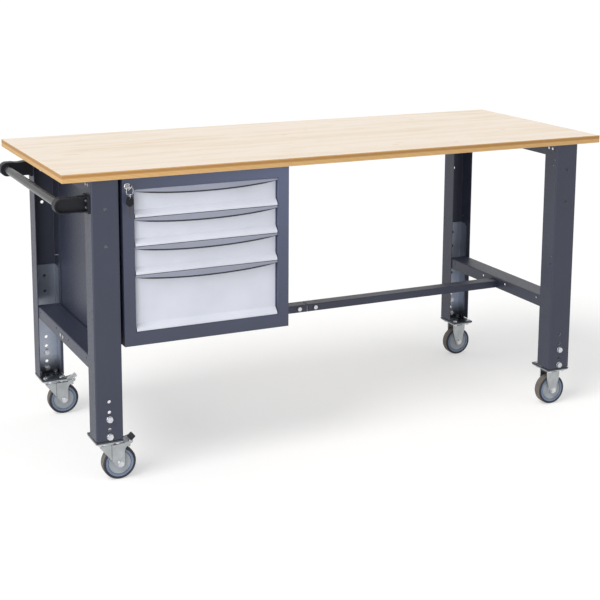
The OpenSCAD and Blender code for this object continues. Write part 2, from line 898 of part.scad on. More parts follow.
// Upright channels inside the cabinet, which carry the runners
module posts() {
    post_d = border_side - cabinet_t / 2;
    front_post_y = lock_bar_y + lock_bar_t + slide_gap;
    rear_post_y = cabinet_y + cabinet_d - post_rear - post_w;
    for (y = [front_post_y, rear_post_y]) {
        translate([opening_x, y + post_w / 2, cabinet_z + cabinet_t / 2]) rotate([0, 0, 90])
            linear_extrude(cabinet_h - cabinet_t) channel_2d(post_w, post_d, cabinet_t, post_bend_r);
        translate([opening_x + opening_w, y + post_w / 2, cabinet_z + cabinet_t / 2]) rotate([0, 0, -90])
            linear_extrude(cabinet_h - cabinet_t) channel_2d(post_w, post_d, cabinet_t, post_bend_r);
    }
}

module cabinet_front_frame() {
    placed(steel_blue) difference() {
        translate([cabinet_x, cabinet_y, cabinet_z]) cube([cabinet_w, border_depth, cabinet_h]);
        translate([opening_x, cabinet_y - cut, opening_z])
            cube([opening_w, border_depth + 2 * cut, opening_h]);
        border_hollow();
        translate([lock_axis_x, cabinet_y - cut, lock_axis_z])
            along_y(lock_d + 2 * fit_gap, cabinet_t + 2 * cut);
    }
}

// The room between the frame's outer and inner returns, open to the back
module border_hollow() {
    hollow_y = cabinet_y + cabinet_t;
    difference() {
        translate([cabinet_x + cabinet_t, hollow_y, cabinet_z + cabinet_t])
            cube([cabinet_w - 2 * cabinet_t, border_depth, cabinet_h - 2 * cabinet_t]);
        translate([opening_x - cabinet_t, hollow_y - cut, opening_z - cabinet_t])
            cube([opening_w + 2 * cabinet_t, border_depth + 2 * cut, opening_h + 2 * cabinet_t]);
    }
}

// Runners: each has a fixed, a middle and a tray channel, one inside the other
function drawer_top(n) = opening_z + opening_h * drawer_top_shares[n - 1];
function drawer_bottom(n) = drawer_top(n) - opening_h * drawer_shares[n - 1];
function tray_z(n) = drawer_bottom(n) + tray_under;
function tray_h(n) = drawer_top(n) - drawer_bottom(n) - tray_under - tray_over;
function runner_z(n) = tray_z(n) + runner_over + runner_h / 2;

// Channel that opens towards +X, from x_from to x_to, at both sides of a drawer
module runner_pair(n, h, x_from, x_to) {
    for (side = [0, 1])
        translate([side ? opening_x + opening_w : opening_x, runner_y, runner_z(n)])
            mirror([side, 0, 0]) translate([x_from, 0, -h / 2]) difference() {
                cube([x_to - x_from, runner_l, h]);
                translate([runner_t, -cut, runner_t])
                    cube([x_to - x_from, runner_l + 2 * cut, h - 2 * runner_t]);
            }
}

module cabinet_runners() {
    placed(zinc) for (n = [1 : 4]) runner_pair(n, runner_h, 0, runner_space - 2 * runner_t - slide_gap);
}

module middle_runners(n) {
    placed(zinc) runner_pair(n, runner_mid_h, runner_mid_in, runner_space - runner_t - slide_gap);
}

module drawer_1_runners() {
    middle_runners(1);
}

module drawer_2_runners() {
    middle_runners(2);
}

module drawer_3_runners() {
    middle_runners(3);
}

module drawer_4_runners() {
    middle_runners(4);
}

// Drawer trays, each with its runner channels and its lock catch
module tray(n) {
    tray_x = opening_x + runner_space;
    tray_w = opening_w - 2 * runner_space;
    placed(light_grey) {
        difference() {
            translate([tray_x, tray_front_y, tray_z(n)]) cube([tray_w, tray_l, tray_h(n)]);
            translate([tray_x + tray_t, tray_front_y + tray_t, tray_z(n) + tray_t])
                cube([tray_w - 2 * tray_t, tray_l - 2 * tray_t, tray_h(n)]);
        }
        for (side = [0, 1])
            translate([side ? opening_x + opening_w : opening_x, runner_y, runner_z(n)])
                mirror([side, 0, 0]) tray_channel();
        translate([tray_x - catch_w, lock_bar_y + lock_bar_t + catch_back, catch_z(n)])
            cube([catch_w + tray_t / 2, catch_l, catch_h]);
    }
}

// Channel that opens away from the tray, so its web lies on the tray's side
module tray_channel() {
    x_from = runner_mid_in + runner_t + slide_gap;
    translate([x_from, 0, -runner_tray_h / 2]) difference() {
        cube([runner_space - x_from + tray_t / 2, runner_l, runner_tray_h]);
        translate([-cut, -cut, runner_t])
            cube([runner_space - x_from - runner_t + cut, runner_l + 2 * cut, runner_tray_h - 2 * runner_t]);
    }
}

function catch_z(n) = tray_z(n) + tray_h(n) - catch_h;

module drawer_1_tray() {
    tray(1);
}

module drawer_2_tray() {
    tray(2);
}

module drawer_3_tray() {
    tray(3);
}

module drawer_4_tray() {
    tray(4);
}

// Drawer fronts: a folded sheet with a flare below and a curved grip above
module drawer_front(n) {
    z_low = drawer_bottom(n) + front_z_gap;
    z_high = drawer_top(n) - front_z_gap;
    placed(light_grey) translate([opening_x + front_gap, 0, 0]) {
        rotate([90, 0, 90]) linear_extrude(front_w) front_profile(z_low, z_high);
        grip(z_high);
        for (x = [0, front_w - front_t])
            translate([x, front_y, z_low + flare_h])
                cube([front_t, front_side_return, z_high - z_low - flare_h]);
    }
}

// Side view of a drawer front, in y and z
module front_profile(z_low, z_high) {
    polygon([
        [flare_y, z_low], [flare_y + front_t, z_low], [flare_y + front_t, z_low + flare_lip_h],
        [front_y + front_t, z_low + flare_h], [front_y + front_t, z_high],
        [flare_y, z_high], [flare_y, z_high - front_t], [front_y, z_high - front_t],
        [front_y, z_low + flare_h], [flare_y, z_low + flare_lip_h]
    ]);
}

// Depth of the grip at a place along the drawer, from -1 at one end to 1 at the other
function grip_depth(s) = grip_end_drop + (grip_drop - grip_end_drop) * pow(max(0, 1 - s * s), grip_power);

// Sloping grip flange under the front's upper lip, its lower edge curved
module grip(z_high) {
    intersection() {
        rotate([90, 0, 90]) linear_extrude(front_w) polygon([
            [flare_y, z_high], [flare_y + front_t, z_high],
            [flare_y + front_t + grip_slope, z_high - grip_drop], [flare_y + grip_slope, z_high - grip_drop]
        ]);
        translate([front_w / 2, front_y, z_high]) rotate([90, 0, 0]) linear_extrude(front_recess + cut)
            polygon(concat([for (i = [0 : grip_steps]) let (s = 2 * i / grip_steps - 1)
                [s * front_w / 2, -grip_depth(s)]], [[front_w / 2, cut], [-front_w / 2, cut]]));
    }
}

module drawer_1_front() {
    drawer_front(1);
}

module drawer_2_front() {
    drawer_front(2);
}

module drawer_3_front() {
    drawer_front(3);
}

module drawer_4_front() {
    drawer_front(4);
}

// Lock
module lock_barrel() {
    placed(zinc) translate([lock_axis_x, cabinet_y, lock_axis_z]) difference() {
        union() {
            translate([0, -lock_rim_t, 0]) along_y(lock_rim_d, lock_rim_t);
            along_y(lock_d, lock_back);
            translate([0, cabinet_t, 0]) along_y(lock_nut_d, lock_nut_h);
        }
        translate([0, -lock_rim_t - cut, 0]) along_y(core_d + 2 * fit_gap, lock_back + lock_rim_t + 2 * cut);
    }
}

// The core turns in the barrel; its peg moves the locking bar
module lock_core() {
    core_front = -lock_rim_t - core_out;
    cam_y = lock_back + slide_gap;
    placed(zinc) translate([lock_axis_x, cabinet_y, lock_axis_z]) difference() {
        union() {
            translate([0, core_front, 0]) along_y(core_d, cam_y - core_front);
            translate([0, cam_y, 0]) along_y(core_d + 2 * cam_t, cam_t);
            rotate([0, key_tilt, 0]) translate([cam_r, cam_y, 0])
                along_y(peg_d, lock_bar_y + lock_bar_t - cabinet_y - cam_y);
        }
        rotate([0, key_tilt, 0])
            translate([-key_t / 2 - fit_gap, core_front - cut, -key_blade_h / 2 - fit_gap])
                cube([key_t + 2 * fit_gap, key_blade_l + cut, key_blade_h + 2 * fit_gap]);
    }
}

module key() {
    bow_y = -lock_rim_t - core_out - key_bow_out;
    placed(zinc) translate([lock_axis_x, cabinet_y, lock_axis_z]) rotate([0, key_tilt, 0]) difference() {
        union() {
            translate([-key_t / 2, bow_y, 0]) along_x(2 * key_bow_r, key_t);
            translate([-key_t / 2, bow_y, -key_blade_h / 2])
                cube([key_t, key_bow_out + key_blade_l - cut, key_blade_h]);
        }
        translate([-key_t / 2 - cut, -hole_out, 0]) along_x(2 * key_hole_r, key_t + 2 * cut);
    }
}

// A wire loop through the key's bow, a link and a second key that hangs from it
module spare_key() {
    link_top = -ring_drop + 2 * ring_wire_r + slide_gap / 2;
    hole_z = link_top - 2 * link_r + ring_wire_r + spare_play - spare_hole_r;
    head_top = hole_z + spare_hole_drop;
    placed(black) translate([lock_axis_x, cabinet_y - hole_out, lock_axis_z]) {
        wire_loop();
        translate([0, 0, link_top - link_r]) rotate([0, 90, 0]) wire_ring(link_r);
        difference() {
            union() {
                translate([-spare_w / 2, -spare_t / 2, head_top - spare_h]) cube([spare_w, spare_t, spare_h]);
                translate([-spare_blade_w / 2, -spare_blade_t / 2, head_top - spare_h - spare_blade_l])
                    cube([spare_blade_w, spare_blade_t, spare_blade_l + cut]);
            }
            translate([0, -spare_t / 2 - cut, hole_z]) along_y(2 * spare_hole_r, spare_t + 2 * cut);
        }
    }
}

module wire_ring(r) {
    rotate_extrude() translate([r, 0]) circle(ring_wire_r);
}

// Loop in x and z that turns about its straight upper side
module wire_loop() {
    out = ring_w / 2 - ring_corner_r;
    down = ring_drop / 2 - ring_corner_r;
    translate([0, 0, -ring_drop / 2]) {
        for (x = [-1, 1]) translate([x * ring_w / 2, 0, -down]) cylinder(r = ring_wire_r, h = 2 * down);
        for (z = [-1, 1]) translate([-out, 0, z * ring_drop / 2]) along_x(2 * ring_wire_r, 2 * out);
        for (x = [0, 1], z = [0, 1])
            mirror([x, 0, 0]) mirror([0, 0, z]) translate([out, 0, down])
                rotate([90, 0, 0]) rotate_extrude(angle = 90)
                    translate([ring_corner_r, 0]) circle(ring_wire_r);
    }
}

// Bar that rises behind the drawers' catches when the core turns
module locking_bar() {
    bar_x = opening_x - lock_bar_w - lock_bar_in;
    bar_z = opening_z + lock_bar_foot;
    peg_x = lock_axis_x + cam_r * cos(key_tilt);
    peg_z = lock_axis_z - cam_r * sin(key_tilt);
    slot_high = peg_d + 2 * lock_slot_play;
    slot_wide = peg_d + 2 * cam_r * (1 - cos(key_tilt)) + 2 * lock_slot_play;
    placed(zinc) difference() {
        union() {
            translate([bar_x, lock_bar_y, bar_z]) cube([lock_bar_w, lock_bar_t, peg_z - bar_z]);
            translate([bar_x + lock_bar_w - lock_plate_w, lock_bar_y, peg_z - lock_plate_h / 2])
                cube([lock_plate_w, lock_bar_t, lock_plate_h]);
            for (n = [1 : 4])
                translate([bar_x + lock_bar_w - cut, lock_bar_y, catch_z(n) - front_z_gap - latch_h])
                    cube([tab_w + cut, lock_bar_t, latch_h]);
        }
        translate([peg_x - slot_wide / 2, lock_bar_y - cut, peg_z - slot_high / 2])
            cube([slot_wide, lock_bar_t + 2 * cut, slot_high]);
    }
}

// Casters: swivelling ones with brakes at the handle's end, fixed ones at the other
module caster_plate() {
    plate_z = caster_h - caster_plate_t;
    difference() {
        union() {
            translate([-leg_w / 2, -foot_plate_l / 2, plate_z]) cube([leg_w, foot_plate_l, caster_plate_t]);
            translate([0, 0, plate_z - race_h]) cylinder(d = race_d, h = race_h + cut);
            translate([0, 0, crown_z - race_gap - king_head_h])
                cylinder(d = king_d, h = plate_z - crown_z + king_head_h);
            translate([0, 0, crown_z - race_gap - king_head_h]) cylinder(d = king_head_d, h = king_head_h);
        }
        translate([0, 0, plate_z - cut]) plate_bolt_places()
            cylinder(d = m8_d + hole_play, h = caster_plate_t + 2 * cut);
    }
}

module front_left_caster_plate() {
    placed(zinc) at_caster(false, false) caster_plate();
}

module rear_left_caster_plate() {
    placed(zinc) at_caster(false, true) caster_plate();
}

// Side view of a swivelling fork's side, in x and z
module fork_side_2d() {
    lead = [-fork_lead, crown_top - fork_lead_drop];
    axle = [caster_trail, wheel_r];
    reach = norm(axle - lead);
    along = atan2(axle[1] - lead[1], axle[0] - lead[0]) - asin(fork_tip_r / reach);
    touch = sqrt(reach * reach - fork_tip_r * fork_tip_r);
    back_x = caster_trail + fork_tip_r;
    side_h = crown_top - wheel_r;
    polygon([
        [-fork_lead, crown_top], lead, lead + touch * [cos(along), sin(along)], axle,
        [back_x, wheel_r], [back_x, wheel_r + side_h * neck_shares[0]],
        [back_x + neck_out_share * (fork_tail - back_x), wheel_r + side_h * neck_shares[1]],
        [fork_tail, wheel_r + side_h * neck_shares[2]], [fork_tail, crown_top + tail_rise],
        [back_x, crown_top]
    ]);
    translate(axle) circle(fork_tip_r);
}

module fork_sides() {
    for (y = [fork_t - fork_w / 2, fork_w / 2]) translate([0, y, 0]) rotate([90, 0, 0])
        linear_extrude(fork_t) children();
}

module fork() {
    dish_top = caster_h - caster_plate_t - race_h - race_gap;
    difference() {
        union() {
            fork_sides() fork_side_2d();
            translate([-fork_lead, -fork_w / 2, crown_z])
                cube([fork_lead + caster_trail + fork_tip_r, fork_w, crown_t]);
            translate([0, 0, crown_z]) cylinder(d = race_d, h = dish_top - crown_z);
            translate([pivot_x, -fork_w / 2, pivot_z]) along_y(pedal_pin_d, fork_w);
        }
        translate([0, 0, crown_z - cut]) cylinder(d = king_d + 2 * fit_gap, h = dish_top - crown_z + 2 * cut);
        translate([caster_trail, -fork_w / 2 - cut, wheel_r]) along_y(axle_d + 2 * fit_gap, fork_w + 2 * cut);
    }
}

module front_left_fork() {
    placed(zinc) at_caster(false, false) fork();
}

module rear_left_fork() {
    placed(zinc) at_caster(false, true) fork();
}

// Brake pedal: it turns on the fork's pin, and its nose presses on the tyre
module brake_pedal() {
    barrel_w = fork_w - 2 * fork_t - 2 * slide_gap;
    nose_arm = norm([nose_x - pivot_x, nose_z - pivot_z]);
    nose_turn = atan2(pivot_z - nose_z, nose_x - pivot_x);
    difference() {
        union() {
            translate([pivot_x, -barrel_w / 2, pivot_z]) along_y(pedal_barrel_d, barrel_w);
            translate([pivot_x, 0, pivot_z]) rotate([0, -pedal_slope, 0]) {
                translate([0, -pedal_arm_w / 2, -pedal_arm_t / 2])
                    cube([pedal_arm_l, pedal_arm_w, pedal_arm_t]);
                translate([pedal_arm_l - pedal_l / 2, -pedal_w / 2, -pedal_pad_t / 2])
                    cube([pedal_l, pedal_w, pedal_pad_t]);
            }
            translate([nose_x, -nose_w / 2, nose_z]) along_y(2 * nose_r, nose_w);
            translate([pivot_x, -nose_w / 2, pivot_z]) rotate([0, nose_turn, 0])
                translate([0, 0, -nose_r]) cube([nose_arm, nose_w, 2 * nose_r]);
        }
        translate([pivot_x, -barrel_w / 2 - cut, pivot_z])
            along_y(pedal_pin_d + 2 * fit_gap, barrel_w + 2 * cut);
    }
}

module front_left_brake_pedal() {
    placed(black) at_caster(false, false) brake_pedal();
}

module rear_left_brake_pedal() {
    placed(black) at_caster(false, true) brake_pedal();
}

// Axle bolt with its nut, its head towards -Y
module axle() {
    translate([0, -fork_w / 2, wheel_r]) rotate([-90, 0, 0]) {
        hex_bolt(axle_d, fork_w + axle_head_h, axle_head_w, axle_head_h);
        translate([0, 0, fork_w]) hexagon(axle_head_w, axle_head_h);
    }
}

module front_left_axle() {
    placed(zinc) at_caster(false, false) translate([caster_trail, 0, 0]) axle();
}

module rear_left_axle() {
    placed(zinc) at_caster(false, true) translate([caster_trail, 0, 0]) axle();
}

// Fixed bracket of a caster that doesn't swivel
module caster_bracket() {
    plate_z = caster_h - caster_plate_t;
    difference() {
        union() {
            translate([-leg_w / 2, -foot_plate_l / 2, plate_z]) cube([leg_w, foot_plate_l, caster_plate_t]);
            fork_sides() {
                polygon([[-bracket_top_w / 2, plate_z + caster_plate_t / 2], [-fork_tip_r, wheel_r],
                    [fork_tip_r, wheel_r], [bracket_top_w / 2, plate_z + caster_plate_t / 2]]);
                translate([0, wheel_r]) circle(fork_tip_r);
            }
        }
        translate([0, 0, plate_z - cut]) plate_bolt_places()
            cylinder(d = m8_d + hole_play, h = caster_plate_t + 2 * cut);
        translate([0, -fork_w / 2 - cut, wheel_r]) along_y(axle_d + 2 * fit_gap, fork_w + 2 * cut);
        translate([-bracket_slot_w / 2, -fork_w / 2 - cut, caster_h - bracket_slot_drop - bracket_slot_h / 2])
            cube([bracket_slot_w, fork_w + 2 * cut, bracket_slot_h]);
    }
}

module front_right_caster_bracket() {
    placed(zinc) at_caster(true, false) caster_bracket();
}

module rear_right_caster_bracket() {
    placed(zinc) at_caster(true, true) caster_bracket();
}

// Wheels
module at_wheel(right, rear) {
    at_caster(right, rear) translate([right ? 0 : caster_trail, 0, wheel_r]) rotate([90, 0, 0])
        rotate_extrude() children();
}

// Half section of a tyre, in radius and width
module tyre_2d() {
    straight = tyre_w / 2 - tyre_shoulder_r;
    translate([hub_r + fit_gap, -tyre_w / 2])
        square([wheel_r - tyre_shoulder_r - hub_r - fit_gap, tyre_w]);
    translate([hub_r + fit_gap, -straight]) square([wheel_r - hub_r - fit_gap, 2 * straight]);
    for (side = [-1, 1]) translate([wheel_r - tyre_shoulder_r, side * straight]) circle(tyre_shoulder_r);
}

// Half section of a wheel's centre, in radius and width
module hub_2d() {
    boss_w = fork_w - 2 * fork_t - 2 * hub_gap;
    cover_w = tyre_w - 2 * hub_cover_in;
    groove_w = tyre_w - 2 * hub_groove_in;
    rim_w = tyre_w - 2 * hub_rim_in;
    bore_r = axle_d / 2 + fit_gap;
    rim_r = hub_cover_r + hub_groove_w;
    translate([bore_r, -boss_w / 2]) square([hub_boss_r - bore_r, boss_w]);
    translate([bore_r, -cover_w / 2]) square([hub_cover_r - bore_r, cover_w]);
    translate([bore_r, -groove_w / 2]) square([hub_r - bore_r, groove_w]);
    translate([rim_r, -rim_w / 2]) square([hub_r - rim_r, rim_w]);
}

module front_left_tyre() {
    placed(rubber_grey) at_wheel(false, false) tyre_2d();
}

module rear_left_tyre() {
    placed(rubber_grey) at_wheel(false, true) tyre_2d();
}

module front_right_tyre() {
    placed(rubber_grey) at_wheel(true, false) tyre_2d();
}

module rear_right_tyre() {
    placed(rubber_grey) at_wheel(true, true) tyre_2d();
}

module front_left_hub() {
    placed(hub_grey) at_wheel(false, false) hub_2d();
}

module rear_left_hub() {
    placed(hub_grey) at_wheel(false, true) hub_2d();
}

module front_right_hub() {
    placed(hub_grey) at_wheel(true, false) hub_2d();
}

module rear_right_hub() {
    placed(hub_grey) at_wheel(true, true) hub_2d();
}

// Plate bolts of all casters and the fixed casters' axles
module caster_fasteners() {
    stack = foot_plate_t + caster_plate_t;
    placed(zinc) {
        for (right = [false, true], rear = [false, true]) at_caster(right, rear) plate_bolt_places()
            translate([0, 0, foot_top]) mirror([0, 0, 1]) {
                hex_bolt(m8_d, stack + m8_nut_h, m8_head_w, m8_head_h);
                translate([0, 0, stack]) nut(m8_d, m8_head_w, m8_nut_h);
            }
        for (rear = [false, true]) at_caster(true, rear) axle();
    }
}

worktop();
front_left_leg();
rear_left_leg();
front_right_leg();
rear_right_leg();
front_left_foot();
rear_left_foot();
front_right_foot();
rear_right_foot();
left_top_rail();
right_top_rail();
left_cross_rail();
right_cross_rail();
left_side_panel();
stretcher_left();
stretcher_right();
stretcher_splice();
frame_fasteners();
handle_bar();
handle_bracket_front();
handle_bracket_rear();
cabinet_shell();
cabinet_front_frame();
cabinet_runners();
drawer_1_runners();
drawer_2_runners();
drawer_3_runners();
drawer_4_runners();
drawer_1_tray();
drawer_2_tray();
drawer_3_tray();
drawer_4_tray();
drawer_1_front();
drawer_2_front();
drawer_3_front();
drawer_4_front();
lock_barrel();
lock_core();
key();
spare_key();
locking_bar();
front_left_caster_plate();
rear_left_caster_plate();
front_left_fork();
rear_left_fork();
front_left_brake_pedal();
rear_left_brake_pedal();
front_left_axle();
rear_left_axle();
front_right_caster_bracket();
rear_right_caster_bracket();
front_left_tyre();
rear_left_tyre();
front_right_tyre();
rear_right_tyre();
front_left_hub();
rear_left_hub();
front_right_hub();
rear_right_hub();
caster_fasteners();
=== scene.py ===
import json
import math

import bmesh
import bpy
from mathutils import Matrix, Vector

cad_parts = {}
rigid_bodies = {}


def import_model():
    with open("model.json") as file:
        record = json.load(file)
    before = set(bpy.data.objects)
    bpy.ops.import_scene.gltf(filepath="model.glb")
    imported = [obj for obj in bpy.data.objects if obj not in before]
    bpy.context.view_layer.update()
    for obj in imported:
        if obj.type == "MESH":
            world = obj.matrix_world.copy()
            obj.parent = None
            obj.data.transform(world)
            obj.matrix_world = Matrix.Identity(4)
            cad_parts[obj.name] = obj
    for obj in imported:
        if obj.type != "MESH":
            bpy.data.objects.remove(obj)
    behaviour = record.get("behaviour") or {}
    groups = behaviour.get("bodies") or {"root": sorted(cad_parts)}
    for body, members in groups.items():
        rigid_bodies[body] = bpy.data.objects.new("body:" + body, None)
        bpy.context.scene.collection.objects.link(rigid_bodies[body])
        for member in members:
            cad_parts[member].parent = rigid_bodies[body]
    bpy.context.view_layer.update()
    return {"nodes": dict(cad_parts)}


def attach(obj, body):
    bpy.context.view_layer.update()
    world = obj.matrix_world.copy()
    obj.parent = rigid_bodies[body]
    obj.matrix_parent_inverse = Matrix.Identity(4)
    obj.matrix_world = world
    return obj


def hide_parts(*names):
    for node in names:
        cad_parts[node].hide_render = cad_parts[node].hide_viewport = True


for thing in list(bpy.data.objects):
    bpy.data.objects.remove(thing)

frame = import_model()
nodes = frame["nodes"]

# The table frame: millimetres, X from the worktop's left end, Y from its front edge
TABLE_ORIGIN = Vector((891.5, 338.5, 0))
MM_IN_M = 1000


def at(x, y, z):
    """A place in the table frame, in the scene's metres."""
    return (Vector((x, y, z)) - TABLE_ORIGIN) / MM_IN_M


def cosd(angle):
    return math.cos(math.radians(angle))


def sind(angle):
    return math.sin(math.radians(angle))


# Materials

# Places of a colour Mix node's sockets
MIX_SHARE, MIX_A, MIX_B, MIX_OUT = 0, 6, 7, 2
# Places of Separate XYZ's outputs
AXIS_X, AXIS_Z = 0, 2
# Bump heights of a fine and a coarser texture, in metres
FINE, COARSE = 0.0002, 0.0003


class Tree:
    """A new Principled material and short ways to add nodes to it."""

    def __init__(self, name, colour, roughness, metallic=0.0, specular=0.5):
        self.material = bpy.data.materials.new(name)
        self.material.use_nodes = True
        self.tree = self.material.node_tree
        self.shader = self.tree.nodes["Principled BSDF"]
        self.set(self.shader, "Base Color", (*colour, 1))
        self.set(self.shader, "Roughness", roughness)
        self.set(self.shader, "Metallic", metallic)
        self.set(self.shader, "Specular IOR Level", specular)
        self.coords = self.tree.nodes.new("ShaderNodeTexCoord").outputs["Object"]

    def set(self, node, socket, value):
        """Links a value into a node's socket, or sets the socket to it."""
        if isinstance(value, bpy.types.NodeSocket):
            self.tree.links.new(value, node.inputs[socket])
        else:
            node.inputs[socket].default_value = value

    def node(self, kind, out=0, props=(), first=(), **inputs):
        """A new node's output; first fills its first sockets and inputs the named ones."""
        n = self.tree.nodes.new(kind)
        for key, value in dict(props).items():
            setattr(n, key, value)
        for place, value in enumerate(first):
            self.set(n, place, value)
        for key, value in inputs.items():
            self.set(n, key.replace("_", " "), value)
        return n.outputs[out]

    def axis(self, which):
        return self.node("ShaderNodeSeparateXYZ", out=which, Vector=self.coords)

    def scaled(self, x, y, z):
        return self.node("ShaderNodeMapping", Vector=self.coords, Scale=(x, y, z))

    def noise(self, scale, detail, vector=None, rough=0.5, distort=0.0):
        return self.node("ShaderNodeTexNoise", Vector=vector or self.coords, Scale=scale,
                         Detail=detail, Roughness=rough, Distortion=distort)

    def ramp(self, value, low, high, to_low=0.0, to_high=1.0):
        return self.node("ShaderNodeMapRange", Value=value, From_Min=low, From_Max=high,
                         To_Min=to_low, To_Max=to_high)

    def maths(self, operation, a, b=0.0):
        return self.node("ShaderNodeMath", props={"operation": operation}, first=(a, b))

    def times(self, a, b):
        return self.maths("MULTIPLY", a, b)

    def mix(self, share, a, b):
        """A mix of two colours, each a tuple or a socket."""
        n = self.tree.nodes.new("ShaderNodeMix")
        n.data_type = "RGBA"
        self.set(n, MIX_SHARE, share)
        for place, value in ((MIX_A, a), (MIX_B, b)):
            self.set(n, place, (*value, 1) if isinstance(value, tuple) else value)
        return n.outputs[MIX_OUT]

    def bump(self, height, strength, distance):
        self.set(self.shader, "Normal", self.node("ShaderNodeBump", Height=height,
                                                  Strength=strength, Distance=distance))

    def base(self, colour):
        self.set(self.shader, "Base Color", colour)

    def rough(self, value):
        self.set(self.shader, "Roughness", value)


def tone(colour, factor):
    return tuple(min(1.0, c * factor) for c in colour)


def srgb(code):
    """Linear colour of an sRGB hex code."""
    parts = [int(code[i:i + 2], 16) / 255 for i in (0, 2, 4)]
    return tuple(c / 12.92 if c <= 0.04045 else ((c + 0.055) / 1.055) ** 2.4 for c in parts)


def powder_coat(name, colour, roughness, grain=0.1, painted_light=0.0, specular=0.5):
    """Baked powder paint with a fine orange peel; its painted-light share pales it upwards and to
    the right, a painted pool of light.
    """
    cloud_scale, gloss_scale, peel_scale = 7, 160, 1100
    painted_light_x, painted_light_z = (-0.8, -0.12), (0.35, 1.05)
    t = Tree(name, colour, roughness, specular=specular)
    clouds = t.ramp(t.noise(cloud_scale, 3), 0.3, 0.7)
    skin = t.mix(clouds, tone(colour, 0.95), tone(colour, 1.06))
    # Painted light: the paint is made paler up and to the right, where light falls
    if painted_light:
        across = t.ramp(t.axis(AXIS_X), *painted_light_x)
        height = t.ramp(t.axis(AXIS_Z), *painted_light_z)
        skin = t.mix(t.times(across, height), skin, tone(colour, 1 + painted_light))
    t.base(skin)
    t.rough(t.ramp(t.noise(gloss_scale, 2), 0.3, 0.7, roughness - 0.05, roughness + 0.06))
    t.bump(t.noise(peel_scale, 2), grain, FINE)
    return t.material


def bright_zinc(name, colour, roughness, smear=60):
    """Plated pressed steel with faint drawing marks and stains."""
    draw_scale, draw_strength = 700, 0.08
    t = Tree(name, colour, roughness, metallic=1.0)
    stains = t.ramp(t.noise(smear, 4), 0.35, 0.7)
    t.base(t.mix(stains, tone(colour, 0.86), tone(colour, 1.08)))
    t.rough(t.ramp(t.noise(smear * 3, 3), 0.3, 0.7, roughness - 0.07, roughness + 0.1))
    t.bump(t.noise(draw_scale, 2, t.scaled(1, 1, 3)), draw_strength, FINE)
    return t.material


def galvanised(name, colour):
    """Hot dipped sheet with a faint crystal pattern, with painted shade that darkens it near its
    foot and up in the leg.
    """
    warp_scale, warp, cell_scale, grain_scale = 90.0, 0.006, 150.0, 500
    foot_z, light_z, leg_z, dark_z = 0.134, 0.19, 0.22, 0.4
    t = Tree(name, colour, 0.42, metallic=0.9)
    shift = t.node("ShaderNodeVectorMath", props={"operation": "SCALE"}, Scale=warp,
                   first=(t.node("ShaderNodeTexNoise", out=1, Vector=t.coords, Scale=warp_scale),))
    warped = t.node("ShaderNodeVectorMath", props={"operation": "ADD"}, first=(t.coords, shift))
    cells = t.node("ShaderNodeTexVoronoi", out=1, Vector=warped, Scale=cell_scale)
    grey = t.node("ShaderNodeSeparateColor", Color=cells)
    height = t.axis(AXIS_Z)
    sheet = t.mix(grey, tone(colour, 0.94), tone(colour, 1.06))
    # Painted shade: darker up inside the leg
    sheet = t.mix(t.ramp(height, leg_z, dark_z), sheet, tone(colour, 0.6))
    # Painted shade: nearly black at the foot
    t.base(t.mix(t.ramp(height, foot_z, light_z), tone(colour, 0.16), sheet))
    t.rough(t.ramp(grey, 0, 1, 0.3, 0.42))
    t.bump(t.noise(grain_scale, 2), 0.06, FINE)
    return t.material


def birch_face(name):
    """Clear finished birch veneer: pale, with soft warm clouds, faint figure and small pins."""
    pale, warm, brown = srgb("F3E6D6"), srgb("E6CFAF"), srgb("B98D5C")
    fibre_tone, fleck_tone = srgb("D9BE98"), srgb("CDA878")
    figure_share, cloud_share, ring_share = 0.34, 0.5, 0.16
    t = Tree(name, pale, 0.42)
    figure = t.noise(1.6, 5, t.scaled(0.9, 6.5, 6.5), 0.6, 1.4)
    clouds = t.noise(2.6, 6, t.scaled(1.0, 2.2, 2.2), 0.62, 1.1)
    rings = t.node("ShaderNodeTexWave", out=1, Vector=t.scaled(0.3, 2.0, 2.0), Scale=1.7,
                   props={"wave_type": "BANDS", "bands_direction": "Y"},
                   Distortion=14.0, Detail=4.0, Detail_Scale=1.3)
    mixed = t.maths("ADD", t.times(figure, figure_share), t.times(clouds, cloud_share))
    soft = t.ramp(t.maths("ADD", mixed, t.times(rings, ring_share)), 0.34, 0.56)
    body = t.mix(soft, t.mix(t.times(clouds, 0.9), warm, pale), pale)
    fibre = t.ramp(t.noise(420, 3, t.scaled(0.05, 1, 1)), 0.35, 0.75)
    body = t.mix(t.times(fibre, 0.12), body, fibre_tone)
    flecks = t.ramp(t.noise(34, 3, t.scaled(0.32, 1, 1), 0.5, 0.6), 0.66, 0.74)
    body = t.mix(t.times(flecks, 0.3), body, fleck_tone)
    spots = t.node("ShaderNodeTexVoronoi", Vector=t.scaled(2.0, 5.2, 5.2), Scale=1.55,
                   Randomness=1.0)
    pins = t.ramp(spots, 0.022, 0.05, 1, 0)
    t.base(t.mix(t.times(pins, 0.5), body, brown))
    t.rough(t.ramp(fibre, 0, 1, 0.36, 0.48))
    t.bump(fibre, 0.05, COARSE)
    return t.material


